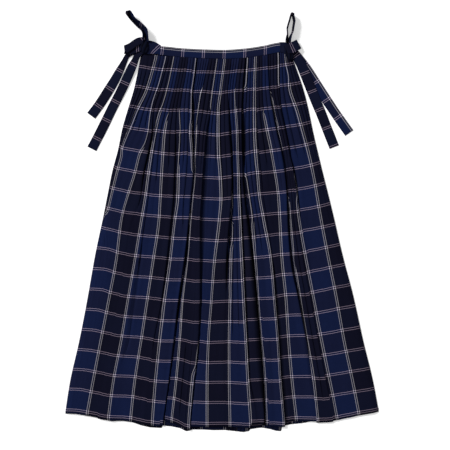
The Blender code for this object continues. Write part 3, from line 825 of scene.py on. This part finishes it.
def makePanel(name, spec, material):
    shape = panelShape
    rowCount = spec["rows"]
    levels = np.linspace(0, 1, rowCount)
    first = panelShape["firstPleat"]
    pleats, edges, hidden, shown = pleatPlan(spec, levels)
    last = len(pleats) - 1
    edgeX = placeX(edges)
    downRows = rowsDown(spec, shape["middlePleat"], levels)
    nothing = np.zeros(rowCount)

    # cloth that is only slightly gathered ripples instead of folding over
    tuck = hidden * pixelSize / 2
    leastTuck = curveThrough(shape["tuckRows"], shape["leastTuck"], downRows)[:, None] * mm
    sharp = ease((tuck - leastTuck) / shape["tuckSoft"])
    tuck = tuck * sharp
    # nothing is tucked under the cloth that lies down in a groove
    grooves = [(pleat - first, depthAndShade, curveThrough(spec["grooveRows"], widths, downRows) * pixelSize)
               for pleat, depthAndShade, widths in spec["grooves"]]
    for at, _, wide in grooves:
        for k in range(at + 1, len(pleats)):
            free = np.maximum(edgeX[:, k] - edgeX[:, at] - shape["grooveClear"] * wide, 0)
            tuck[:, k] = np.where(wide > 0.5 * mm, np.minimum(tuck[:, k], free), tuck[:, k])

    press = (shape["seamPress"]
             + (1 - shape["seamPress"]) * ease(levels * spec["clothLength"] / shape["squeezed"]))
    layer = spec["layer"] * press
    rest = spec["restAtSeam"] + (spec["rest"] - spec["restAtSeam"]) * press
    puff = curveThrough(panelShape["pleatRows"], spec["pleatHeight"], downRows) * mm * press

    # the height on which the cloth lies, worked out at steps across
    start = edgeX.min() - shape["gridMargin"]
    across = np.arange(start, edgeX.max() + shape["gridMargin"], shape["gridStep"])
    side = ease(np.minimum(across - edgeX[:, :1], edgeX[:, -1:] - across) / shape["sideFall"])
    floorLine = spec["edgeHeight"] + (rest[:, None] - spec["edgeHeight"]) * side

    # and the broad rise of the cloth towards the edge of each large fold
    crests = np.zeros_like(floorLine)
    heights = {fold[0] - first: curveThrough(spec["foldRows"], fold[3], downRows) * mm * press
               for fold in spec["folds"]}
    before = edgeX[:, :1]
    for k in sorted(heights):
        edge = edgeX[:, k : k + 1]
        run = np.minimum(shape["waveRun"][1], np.maximum(edge - before, shape["waveRun"][0]))
        rise = ease(1 - (edge - across) / run)
        crests += np.where((across <= edge) & (across > before), heights[k][:, None] * rise, 0)
        before = edge
    crests += floorLine

    def heightAt(grid, x):
        # a row-by-row reading of a height grid at one place across for each row
        spot = np.clip((x - start) / shape["gridStep"], 0, grid.shape[1] - 1.001)
        low = spot.astype(int)
        share = spot - low
        rows = np.arange(rowCount)
        return grid[rows, low] * (1 - share) + grid[rows, low + 1] * share

    def sunk(x, z, upTo):
        # the height of the cloth where it lies down in the grooves of folds up to this pleat
        for at, depthAndShade, wide in grooves:
            if at <= upTo:
                away = (x - edgeX[:, at]) / np.maximum(wide, shape["grooveLeast"])
                share = (depthAndShade * (1 - ease((away - 0.8) / 0.55)) * (away > -0.05)
                         * ease(wide / shape["grooveFull"][0]))
                z = z - np.maximum(z - shape["grooveFloor"], 0) * share
        return z

    random.seed(spec["seed"])
    sideSteps = {p: random.uniform(-1, 1) * spec["stepRandom"] for p in pleats}
    ripples = [random.uniform(*shape["ripple"]) for p in pleats]

    # how far the check lies below its straight place on each pleat, and at either edge of it
    lineAt = np.array([shape["firstWeftLine"] + (line - 1) * checkCloth["weftRepeat"]
                       for line in spec["weftLines"]]) / spec["clothLength"]
    shifts = np.array([curveThrough(lineAt, row[1], levels) for row in spec["weftShift"]])
    shiftAt = [row[0] for row in spec["weftShift"]]
    onPleat = [np.array([np.interp(p, shiftAt, column) for column in shifts.T]) for p in pleats[:-1]]
    grip = between(downRows, shape["stepRows"])

    def downAt(k, side):
        # y of the check's rows just left (-1) or right (1) of edge k
        here, there = (onPleat[max(k - 1, 0)], onPleat[min(k, last - 1)])[::-side]
        share = 0 if pleats[k] in spec["jumps"] else 0.5
        moved = here * (1 - share) + there * share + sideSteps[pleats[k]] * side * grip * (share > 0)
        return placeY(rowsDown(spec, pleats[k], levels) + moved)

    # The pleats are laid from the right to the left, each on the layers that are there already: first
    # the panel that shows, then the two layers tucked under the pleat to its left.
    stack = np.zeros_like(floorLine)
    top = floorLine
    columns = []  # x, y and z over the rows
    for k in range(last - 1, -1, -1):
        right, left = edgeX[:, k + 1], edgeX[:, k]
        run = nothing
        if k:
            gap, closed = shape["edgeGap"]
            run = ((gap + 0.8 * heights.get(k, nothing)) * (1 - ease(tuck[:, k] / closed))
                   * (0.25 + 0.75 * sharp[:, k]))
        begin = np.minimum(left + run, right - shape["leastPanel"] * (right - left))
        leftDown, rightDown = downAt(k, 1), downAt(k + 1, -1)
        # points of the panel crowd together at a groove that opens at its left edge
        groove = next((wide for at, _, wide in grooves if at == k), nothing)
        wide = np.clip(groove / (right - begin), 0, 0.85)
        crowd = ease(wide / 0.12) * (wide < 0.84)
        near, mid, far = (place * wide for place in shape["groovePoints"])
        sharpEnd = sharp[:, k + 1] if k + 1 < last else np.ones(rowCount)
        sharpness = np.maximum(sharpEnd, sharp[:, k]) if k else sharpEnd
        panel = []
        for share, crowded in zip(shape["visible"], (0, near, mid, far, (1 + far) / 2, 1)):
            share = share + (crowded - share) * crowd
            x = begin + (right - begin) * share
            z = np.maximum(heightAt(top, x) + layer, heightAt(crests, x - shape["atCrest"]))
            fold = sharpness * np.sin(math.pi * share ** shape["roundness"]) + 0.3 * share * sharpEnd
            ripple = (1 - sharpness) * ripples[k] * (0.5 - 0.5 * np.cos(2 * math.pi * share))
            z += puff * (fold + ripple)
            panel.append((x, leftDown + (rightDown - leftDown) * share, sunk(x, z, k)))
        if columns:
            # the panel ends at its right edge, on the crest of the fold made before it
            crestX, crestY, crestZ = panel[-1]
            columns.append((crestX, crestY, crestZ - 0.35 * (crestZ - foldTop)))
        columns.extend(reversed(panel))
        if k == 0:
            break

        turnX, midX = left - tuck[:, k], left - tuck[:, k] / 2
        downHere = downAt(k, -1)
        downMean = (leftDown + downHere) / 2
        small = np.minimum(1, tuck[:, k] / (1 * mm))
        lower = top + layer[:, None]
        along = np.clip((across - turnX[:, None]) / np.maximum(tuck[:, k], 0.5 * mm)[:, None], 0, 1)
        crest = heightAt(crests, left - shape["atCrest"])[:, None]
        upper = lower + layer[:, None] + np.maximum(crest - (lower + 2 * layer[:, None]), 0) * along**2
        lowTurn = heightAt(lower, turnX)
        lowest = heightAt(top, left) + layer
        foldTop = sunk(left, heightAt(upper, left) * small + lowest * (1 - small), k - 1)
        for x, z, inset in ((midX, heightAt(lower, midX), 0),
                            (turnX, lowTurn, 0),
                            (turnX, lowTurn + 0.9 * layer * small, shape["turnGap"] * small),
                            (midX, heightAt(upper, midX), 0)):
            columns.append((x - inset, downMean, sunk(x, z, k - 1)))
        columns.append((left - 0.3 * mm * small, downHere, foldTop))
        tucked = (across <= left[:, None]) & (across >= turnX[:, None])
        stack = np.where(tucked, np.maximum(upper - floorLine, stack), stack)
        top = floorLine + draped(stack)
    columns.reverse()
    evenedOut(columns, edgeX, tuck)
    columns = [*turnedUnder(columns[0], -1, spec["turnUnder"])[::-1], *columns,
               *turnedUnder(columns[-1], 1, spec["turnUnder"])]
    gridX, gridY, gridZ = (np.stack(values, 1) for values in zip(*columns))

    # cloth coordinates, and the hem as the picture has it
    clothU = clothAcross(spec, gridX, gridZ, shown)
    clothDown = levels * spec["clothLength"] - shape["firstWeftLine"]
    clothV = np.tile(clothDown[:, None], (1, gridX.shape[1]))
    pictureColumns = gridX[-1] / pixelSize + middleColumn
    if "hemRows" in spec:
        drop = gridY[-1] - placeY(np.interp(pictureColumns, spec["hemColumns"], spec["hemRows"]))
    else:
        drop = np.interp(pictureColumns, spec["hemColumns"], spec["hemDrop"]) * pixelSize
    gridY[-1] -= drop
    clothV[-1] += drop

    crease(spec, gridX, gridY, gridZ, levels, downRows)
    gridZ = np.maximum(gridZ, shape["least"])

    # painted shade: how much shade the grooves hold, darkening the cloth's colour there
    shade = np.zeros_like(gridX)
    for at, depthAndShade, wide in grooves:
        away = (gridX - edgeX[:, at : at + 1]) / np.maximum(wide, shape["grooveLeast"])[:, None]
        inside = ease((away + 0.25) / 0.35) * (1 - ease((away - 0.8) / 0.5))
        shade = np.maximum(shade, depthAndShade * depthAndShade * inside * ease(wide / shape["grooveFull"][1])[:, None])
    shade[:, :sidePoints] = 0

    # the hem turns under
    grids = (gridX, gridY, gridZ, clothU, clothV, shade)
    for rise, drop in zip((0, spec["turnUnder"]), shape["hemFold"]):
        x, y, z, u, v, dark = (grid[-1:] for grid in grids)
        under = (x, y + rise, np.maximum(z - drop, 0.12 * mm), u, v - rise, dark)
        grids = [np.concatenate(pair) for pair in zip(grids, under)]
    points = np.stack([grid.ravel() for grid in grids[:3]], 1)
    uvs = np.stack([grid.ravel() for grid in grids[3:5]], 1)
    return meshFrom(name, points, gridFaces(*grids[0].shape), uvs, material, paintedShades=grids[5])


print("front panel")
frontCloth = makePanel("frontPanel", frontPanel, panelCheck)
print("back panel")
backCloth = makePanel("backPanel", backPanel, backCheck)
for cloth, node in ((frontCloth, "front_panel"), (backCloth, "back_panel")):
    standFor(cloth, node)

frontBand = {
    # top and bottom edge, picture column and row
    "top": ((158.6, 45.1), (162, 46.1), (170, 46.9), (180, 48), (203, 49.3), (224, 49.8), (244, 48.5),
            (265, 45.4), (275, 43.1), (280.6, 42.3)),
    "bottom": ((157.6, 54.5), (171, 56.1), (190, 57.5), (210, 58.5), (224, 58.8), (244, 57.8),
               (262, 55.5), (277, 52.6), (280.6, 52)),
    "low": 3.5 * mm,  # its underside
    "thick": 2.4 * mm,
    "rounding": 0.9 * mm,
    "lineFromTop": 4 * mm,  # the ivory line runs along it just under its top edge
    "mauveAt": 182.8,  # picture column of one mauve pair
    "stations": 150,
}

backBand = {
    "top": ((161.2, 48), (170, 48.9), (180, 50), (203, 51.3), (224, 51.8), (244, 50.5),
            (265, 47.4), (275, 45.1), (279.5, 44.2)),
    "bottom": ((161.2, 55.6), (171, 56.8), (190, 58.1), (210, 59), (224, 59.3), (244, 58.3),
               (262, 56), (279.5, 52.6)),
    "low": 0.15 * mm,
    "thick": 1.9 * mm,
    "rounding": 0.7 * mm,
    "lineFromTop": 4 * mm,
    "mauveAt": 190,
    "stations": 60,
}
bandCloth = {
    "width": 23 * mm,  # of the folded strip as it is cut and sewn
    "endThin": 0.72,
    "ripple": (0.22 * mm, 0.15 * mm),  # long and short waves along the top
    "swell": 0.16 * mm,  # topstitched edges are pressed a little thinner than the middle
    "dimple": 0.12 * mm,
}


def loftedStrip(name, sections, uvs, material):
    # closed strip from a ring of points at each station
    around = len(sections[0])
    points = [point for ring in sections for point in ring]
    coords = [uv for ring in uvs for uv in ring]
    faces = ringFaces(len(sections), around)
    # the ends are closed by faces that run across from top to underside
    for r, flip in ((0, True), (len(sections) - 1, False)):
        for c in range(around // 2 - 1):
            quad = tuple(r * around + place for place in (c, around - 1 - c, around - 2 - c, c + 1))
            faces.append(quad if flip else quad[::-1])
    return meshFrom(name, points, faces, coords, material)


def flatSection(across, thick, rounding):
    # a strip's section from its left edge to its right, then back underneath: side, height
    half = across / 2
    side = [-half, -half + 0.3 * rounding, -half + rounding, -half * 0.5, 0, half * 0.5,
            half - rounding, half - 0.3 * rounding, half]
    rise = [0.25, 0.42, 0.5, 0.5, 0.5, 0.5, 0.5, 0.42, 0.25]
    top = [(s, h * thick) for s, h in zip(side, rise)]
    return top + [(s, -h) for s, h in reversed(top)]


def makeBand(name, spec, material):
    count = spec["stations"]

    def edgePoints(key):
        # evenly spaced points along the band's top or bottom edge
        columns, rows = zip(*spec[key])
        places = [columns[0] + (columns[-1] - columns[0]) * (i / count) for i in range(count + 1)]
        return [Vector((placeX(c), placeY(float(curveThrough(columns, rows, c))), 0)) for c in places]

    edges = list(zip(edgePoints("top"), edgePoints("bottom")))
    lengths = [0]
    for (a, b), (c, d) in zip(edges, edges[1:]):
        lengths.append(lengths[-1] + ((c + d) / 2 - (a + b) / 2).length)
    zeroAt = float(np.interp(placeX(spec["mauveAt"]), [(a.x + b.x) / 2 for a, b in edges], lengths))
    sections, uvs = [], []
    for i, (a, b) in enumerate(edges):
        wide = (b - a).length
        way = (b - a) / wide
        atEnd = i in (0, count)
        thick = spec["thick"] * (bandCloth["endThin"] if atEnd else 1)
        ripple = (bandCloth["ripple"][0] * noise.noise((a.x * 60, 0.5, 1.7))
                  + bandCloth["ripple"][1] * noise.noise((a.x * 190, 3, 0)))
        ring, uv = [], []
        for side, high in flatSection(wide - (spec["rounding"] if atEnd else 0), thick, spec["rounding"]):
            place = a + way * (wide / 2 + side)
            z = spec["low"] + spec["thick"] / 2 + high
            if high > 0:
                z += bandCloth["swell"] * math.exp(-((side / wide * 2) ** 2) * 3) + ripple
                z += bandCloth["dimple"] * noise.noise((place.x * 260, place.y * 60, 4.4))
            ring.append((place.x, place.y, z))
            uv.append((wide / 2 + side - spec["lineFromTop"], lengths[i] - zeroAt))
        sections.append(ring)
        uvs.append(uv)
    return loftedStrip(name, sections, uvs, material), lengths[-1]


print("waistbands")
for name, spec, node in (("frontWaistband", frontBand, "front_waistband"),
                         ("backWaistband", backBand, "back_waistband")):
    band, bandLength = makeBand(name, spec, bandCheck)
    standFor(band, node)


# The ties. A strip's route runs through the middle of its width: x, y, z and width in mm. Where the
# strip doesn't lie flat, runs is the way its width points, for the whole route or after each width.
# A loop on edge has sides in place of a route. mauve is how far along the strip one mauve pair lies, or
# mauvePixel the picture's column and row of it, and warp is where across the cloth its middle is cut.
# stretched and slant draw the check out along and across, and turned turns it, in degrees.
tieStrips = {
    "leftTieRoot": {
        "node": "left_tie_root",
        "route": ((-146.2, 397.8, 5.2, 21), (-154.9, 400.5, 6, 26.5), (-164.3, 402.9, 6.8, 30.5),
                  (-171.3, 403.7, 7.4, 32), (-179, 404.6, 7.6, 28)),
        "mauve": -47.5 * mm,
        "warp": -7 * mm,
        "turned": -30,
        "thick": 2 * mm,
        "rests": ["frontPanel"],
    },
    "leftTailOuter": {
        "node": "left_tail_outer",
        "route": ((-172, 398, 3.2, 14), (-196, 396, 3, 16), (-214, 391, 2.5, 14),
                  (-222.5, 384, 2, 12), (-227.8, 374, 1.7, 13), (-233.8, 362, 1.2, 16),
                  (-240.5, 349, 1, 19.5),
                  (-251, 329, 0.95, 22), (-266, 304, 0.95, 23.5),
                  (-290, 267, 0.95, 23.5), (-307, 244, 0.95, 23.5)),
        "mauvePixel": (120.5, 70.9),
    },
    "leftTailInner": {
        "node": "left_tail_inner",
        "route": ((-170, 401, 5.5, 12), (-186, 395.5, 5.5, 12.5), (-196, 388, 5.4, 14),
                  (-200.5, 381.2, 5.2, 15.2), (-203.5, 374.2, 4.9, 16), (-206.8, 367.1, 4.6, 18.5),
                  (-211.4, 357.8, 4.2, 21), (-217.2, 345, 3.6, 22), (-229, 318.5, 2.9, 22.5),
                  (-258, 261, 1.1, 23), (-281, 214, 0.95, 23.5), (-305.5, 166.5, 0.95, 23.5)),
        "mauvePixel": (133.5, 64.4),
        "rests": ["leftTailOuter"],
    },
    "leftSideLoop": {
        "node": "left_bow_side_loop",
        "route": ((-178.3, 415.1, 10.6, 11), (-185.3, 419.6, 12, 13.5), (-194.7, 417.2, 12.6, 16.4),
                  (-204, 412.3, 12.6, 16), (-213.4, 405.3, 12.2, 16.4), (-222.8, 400.1, 11.4, 18.5),
                  (-227.7, 397.8, 9.9, 20), (-222.8, 396.6, 8.4, 19), (-213.4, 395.7, 8, 17),
                  (-201.7, 399.8, 7.9, 17), (-190, 404.4, 7.9, 16), (-178.3, 404.6, 7.9, 14)),
        # The run in mm, then the cloth's length there: the far end turns back where it isn't seen.
        "along": ((0, 40.8), (45, 85.8), (62, 70.6), (108.2, 116.8)),
        "slant": -0.35,
        "runs": (0.12, 1, 0),
        "rests": ["leftTailOuter"],
    },
    "leftUpLoop": {
        "node": "left_bow_up_loop",
        # the loop's left and right outline in the picture, from the knot to the tip, and how many
        # pixels of it its left and its right wall cover
        "sides": ((142.6, 42, 149.6, 42.5, 2.6, 5), (142.6, 38.5, 149.2, 39.5, 2.4, 4.8),
                  (142.8, 35.3, 148.9, 35.3, 2.4, 4.4), (141.7, 32, 148, 30.3, 2.6, 4.2),
                  (138.3, 29, 144.7, 26.3, 3.6, 3.4), (134.7, 25.6, 140.8, 22.6, 3.6, 3.2),
                  (130.9, 21.6, 136.4, 19.2, 2.8, 3.2), (128, 17.6, 133.9, 15.5, 2.3, 4.6),
                  (126.1, 14.4, 131.4, 12.4, 2.6, 4.2), (126.9, 13, 129.9, 11.8, 2.8, 2.8)),
        "width": (12 * mm, 23 * mm),  # at the knot and past it
        "high": (9.6 * mm, 11.8 * mm),
        "mauve": -17.4 * mm,
        "warp": 24 * mm,
        "thick": 1.1 * mm,
    },
    "rightTieRoot": {
        "node": "right_tie_root",
        "route": ((132.6, 404.8, 4.9, 21.5), (138.5, 404.6, 5.3, 23), (145, 403.4, 6.4, 25),
                  (153, 400.5, 7, 26), (161, 396.5, 7, 18)),
        "mauve": -12 * mm,
        "thick": 1.8 * mm,
        "rests": ["frontPanel"],
    },
    "rightTailOuter": {
        "node": "right_tail_outer",
        "route": ((155, 404, 3.2, 18), (167.6, 391.9, 3.1, 21), (186.8, 368.5, 2.5, 23.5),
                  (215.1, 327.1, 1.2, 23.5), (241.4, 286.4, 0.95, 23.5), (268.6, 245.5, 0.95, 23.5),
                  (298.2, 203.7, 0.95, 23.5)),
        "mauvePixel": (316.5, 82.2),
        "warp": 42.7 * mm,
    },
    "rightTailInner": {
        "node": "right_tail_inner",
        "route": ((155, 401, 5.6, 16), (168, 390, 5.6, 20), (182, 369.5, 4.8, 23.5),
                  (195, 339, 3.4, 23.5), (207, 309, 3, 23.5), (220, 277, 2.9, 23.5),
                  (232, 249, 1.5, 23.5), (246, 213, 0.95, 23.5), (262.7, 170.5, 0.95, 23.5)),
        "mauvePixel": (312.1, 91.5),
        "stretched": 0.95,
        "rests": ["rightTailOuter"],
    },
    "rightSideLoop": {
        "node": "right_bow_side_loop",
        "route": ((150, 397, 13.8, 20, -60, 80, 0), (162.5, 401.5, 13.9, 25, -54, 85, 0),
                  (173, 407, 12.2, 24, -42, 91, 0), (179, 411, 9.9, 23.5, -40, 92, 0),
                  (174, 408, 8.3, 23, -40, 92, 0), (165, 402, 7.9, 20, -40, 92, 0),
                  (154, 397, 7.9, 16, -40, 92, 0)),
        "mauve": 14.5 * mm,
        "rests": ["rightTailOuter"],
    },
    "rightUpLoop": {
        "node": "right_bow_up_loop",
        "sides": ((285.2, 43.5, 291, 43, 3.3, 3.3), (285.2, 40.1, 291.1, 40.5, 3.3, 3.4),
                  (285.6, 37.8, 291.6, 37.8, 3, 3.4), (286.4, 35.5, 292.2, 35.4, 2.2, 2.6),
                  (286.4, 31.6, 293.7, 31.2, 1.9, 2), (286.2, 29.2, 294, 29, 1.9, 2),
                  (287, 25.6, 294.6, 25.4, 1.9, 2.1), (288.6, 20.5, 295.2, 21.2, 1.9, 2.2),
                  (289.8, 16.2, 294.2, 16.8, 1.9, 2.2), (291.2, 13.8, 293.4, 14, 1.6, 1.6)),
        "width": (10 * mm, 18 * mm),
        "high": (8.5 * mm, 9.4 * mm),
        "mauve": 22 * mm,
        "thick": 2 * mm,
    },
}
# what a strip is where its own table doesn't say
tieCloth = {
    "cutWidth": 23.5 * mm,
    "thick": 1.3 * mm,
    "warp": 72 * mm,
    "turned": 0,
    "slant": 0,
    "stretched": 1,
    "rests": [],
}


def loopRoute(spec):
    # A loop that stands on edge goes up one side of its outline and comes back down the other. Its
    # two walls lean apart as far as they must to cover their part of the picture.
    going, coming = [], []
    for place, (leftX, leftY, rightX, rightY, leftCover, rightCover) in enumerate(spec["sides"]):
        left = Vector((placeX(leftX), placeY(leftY), 0))
        right = Vector((placeX(rightX), placeY(rightY), 0))
        inward = (right - left).normalized()
        fromKnot = min(1, place / 2)
        width, high = (spec[key][0] + (spec[key][1] - spec[key][0]) * fromKnot
                       for key in ("width", "high"))
        for outline, wall, way, cover in ((left, going, inward, leftCover),
                                          (right, coming, -inward, rightCover)):
            lean = min(0.9, max(0, cover * pixelSize - spec["thick"]) / width)
            stands = Vector((0, 0, math.sqrt(1 - lean**2))) - way * lean
            wall.append((*(outline + way * (cover * pixelSize / 2))[:2], high, width, *stands))
    return np.array(going + coming[::-1])


def runLength(points):
    # how far along a line each of its points lies
    return np.concatenate([[0], np.cumsum(np.linalg.norm(np.diff(points, axis=0), axis=1))])


def checkPlaces(spec, points, run):
    # the cloth's own length at each point of a strip, from the mauve pair that the picture shows on it
    if "along" in spec:
        return np.interp(run, *(np.array(spec["along"]).T * mm))
    if "mauvePixel" in spec:
        column, row = spec["mauvePixel"]
        target = np.array((placeX(column), placeY(row)))
        zero = run[np.argmin(np.linalg.norm(points[:, :2] - target, axis=1))]
    else:
        zero = spec["mauve"]
    return (run - zero) / spec["stretched"]


def makeStrip(name, spec, material):
    if "sides" in spec:
        route = loopRoute(spec)
    else:
        route = np.array(spec["route"], float) * mm
        if "runs" in spec:
            route = np.concatenate([route, np.tile(spec["runs"], (len(route), 1))], 1)
    onEdge = route.shape[1] > 4
    # a smooth line through the route, with a station about every 2 mm
    reach = runLength(route[:, :3])
    count = max(30, int(reach[-1] / (2.2 * mm)))
    at = np.linspace(0, reach[-1], count)
    line = np.stack([bentThrough(reach, column, at) for column in route.T], 1)
    points = line[:, :3]
    run = runLength(points)
    ways = np.gradient(points, axis=0)
    ways /= np.linalg.norm(ways, axis=1)[:, None]
    clothLengths = checkPlaces(spec, points, run)
    turned = math.radians(spec["turned"])
    cosine, sine = math.cos(turned), math.sin(turned)
    seed = sum(map(ord, name)) * 0.37
    sections, uvs = [], []
    for i in range(count):
        way = Vector(ways[i])
        if onEdge:
            side = Vector(line[i, 4:]).normalized()
            side = (side - way * side.dot(way)).normalized()
            up = side.cross(way)
        else:
            side = Vector((0, 0, 1)).cross(way).normalized()
            up = way.cross(side)
        width = line[i, 3] * (1 + 0.02 * noise.noise((run[i] * 30, seed, 2)))
        thick = spec["thick"] * (0.5 if i in (0, count - 1) else 1)
        onFloor = not onEdge and points[i][2] < 1.2 * mm
        ring, uv = [], []
        for away, high in flatSection(width, thick, 0.5 * mm):
            crease = (noise.noise((run[i] * 38, away * 70, seed)) * 0.45
                      + noise.noise((run[i] * 150, away * 120, seed)) * 0.12) * mm
            if onFloor:
                crease = max(crease, -0.12 * mm)
            ring.append(tuple(Vector(points[i]) + side * away + up * (high + crease)))
            beyond = clothLengths[i] + away * spec["slant"]
            uv.append((away * cosine - beyond * sine + spec["warp"], away * sine + beyond * cosine))
        sections.append(ring[::-1] if onEdge else ring)
        uvs.append(uv[::-1] if onEdge else uv)
    return loftedStrip(name, sections, uvs, material), run[-1]


# middle and half size in mm, turned in degrees
knots = {
    "leftKnot": {
        "node": "left_bow_knot",
        "at": (-181.0, 406.0, 7.3),
        "half": (10.0, 17.5, 6.9),
        "turned": 0,
    },
    "rightKnot": {
        "node": "right_bow_knot",
        "at": (156.0, 392.0, 7.0),
        "half": (9.5, 19.5, 6.6),
        "turned": 18,
    },
}
knotCloth = {
    "around": 44,  # points round it and rings along it
    "along": 40,
    "squareness": 2.6,
    "winds": 5,  # creases round it, which climb along it
    "windSlope": 4.5,
    "windDepth": 0.07,
    "crumple": 0.05,
    "repeatRound": 5 * mm,  # cloth's length for a radian round the knot
    "checkAt": (60 * mm, 24 * mm),
    "shade": (0.45, 0.6, 5),  # painted shade on the knot: least, at no crease, and how much more a crease holds
}


def makeKnot(name, spec, material):
    # a pinched roll of cloth, creased along the way the tie is wound
    cloth = knotCloth
    around, along, square = cloth["around"], cloth["along"], cloth["squareness"]
    centre, half = Vector(spec["at"]) * mm, Vector(spec["half"]) * mm
    turned = math.radians(spec["turned"])
    points, uvs, paintedShades = [], [], []
    for i in range(along + 1):
        s = -1 + 2 * i / along
        grow = max(0.02, (1 - abs(s) ** square)) ** 0.42
        for k in range(around):
            angle = 2 * math.pi * k / around
            cosine, sine = math.cos(angle), math.sin(angle)
            box = (abs(cosine) ** square + abs(sine) ** square) ** (-1 / square)
            fold = (1 + cloth["windDepth"] * math.sin(cloth["winds"] * angle + cloth["windSlope"] * s)
                    + cloth["crumple"] * noise.noise((cosine * 2, sine * 2, s * 3)))
            radius = grow * box * fold * 0.93
            x, y, z = half.x * cosine * radius, half.y * s, half.z * sine * radius
            points.append((centre.x + x * math.cos(turned) - y * math.sin(turned),
                           centre.y + x * math.sin(turned) + y * math.cos(turned),
                           max(centre.z + z, 0.3 * mm)))
            uvs.append((angle * cloth["repeatRound"] + cloth["checkAt"][0], y + cloth["checkAt"][1]))
            # painted shade: the knot's colour is darkened all over, and more in its creases
            least, flat, more = cloth["shade"]
            paintedShades.append(min(1, max(least, flat + more * (1 - fold))))
    ends = [tuple(range(around)), tuple(range(along * around, (along + 1) * around))[::-1]]
    return meshFrom(name, points, ringFaces(along + 1, around) + ends, uvs, material, paintedShades=paintedShades)


print("ties and knots")
for name, differs in tieStrips.items():
    spec = {**tieCloth, **differs}
    strip, stripLength = makeStrip(name, spec, tieCheck)
    standFor(strip, spec["node"])
for name, spec in knots.items():
    knot = makeKnot(name, spec, tieCheck)
    standFor(knot, spec["node"])


print("floor, light and camera")
stage = {
    "floor": (0.80, 0.80, 0.80),
    "floorGlow": 0.42,  # the picture's floor is a bright white table with hardly any shadow
    "floorSize": 9,
    "keyPower": 1270,
    "keyPlace": (-6.6, 5.4, 7.0),
    "keySize": 3.2,
    "sky": 0.36,
    "lens": 85,
    "sensor": 36,
    "distance": 2.486 + 6 * mm,  # to the floor, past the cloth's own height
    "over": (225, 225),  # picture column and row that the camera looks straight down on
}

bpy.ops.mesh.primitive_grid_add(x_subdivisions=8, y_subdivisions=8, size=stage["floorSize"])
floor = bpy.context.object
floor.name = "floor"
floorShades = Shades("paleFloor")
grain = floorShades.node("ShaderNodeTexNoise", Scale=3.0, Detail=2.0)
floor.data.materials.append(floorShades.finish(floorShades.node(
    "ShaderNodeBsdfPrincipled", Base_Color=floorShades.scaled(stage["floor"], grain * 0.02 + 0.99),
    Roughness=0.9, Specular_IOR_Level=0.1, Emission_Color=(1.0, 1.0, 1.0, 1.0),
    Emission_Strength=stage["floorGlow"])))

world = bpy.data.worlds.new("softSky")
world.use_nodes = True
world.node_tree.nodes["Background"].inputs["Color"].default_value = (1, 1, 1, 1)
world.node_tree.nodes["Background"].inputs["Strength"].default_value = stage["sky"]
bpy.context.scene.world = world

keyLamp = bpy.data.lights.new("key", "AREA")
keyLamp.shape = "DISK"
keyLamp.size = stage["keySize"]
keyLamp.energy = stage["keyPower"]
key = bpy.data.objects.new("key", keyLamp)
key.location = stage["keyPlace"]
key.rotation_euler = (-Vector(stage["keyPlace"])).to_track_quat("-Z", "Y").to_euler()
bpy.context.scene.collection.objects.link(key)

camera = bpy.data.objects.new("camera", bpy.data.cameras.new("camera"))
camera.data.lens = stage["lens"]
camera.data.sensor_width = stage["sensor"]
camera.data.clip_end = 20
camera.location = (placeX(stage["over"][0]), placeY(stage["over"][1]), stage["distance"])
bpy.context.scene.collection.objects.link(camera)
bpy.context.scene.camera = camera
bpy.context.scene.view_settings.view_transform = "Standard"
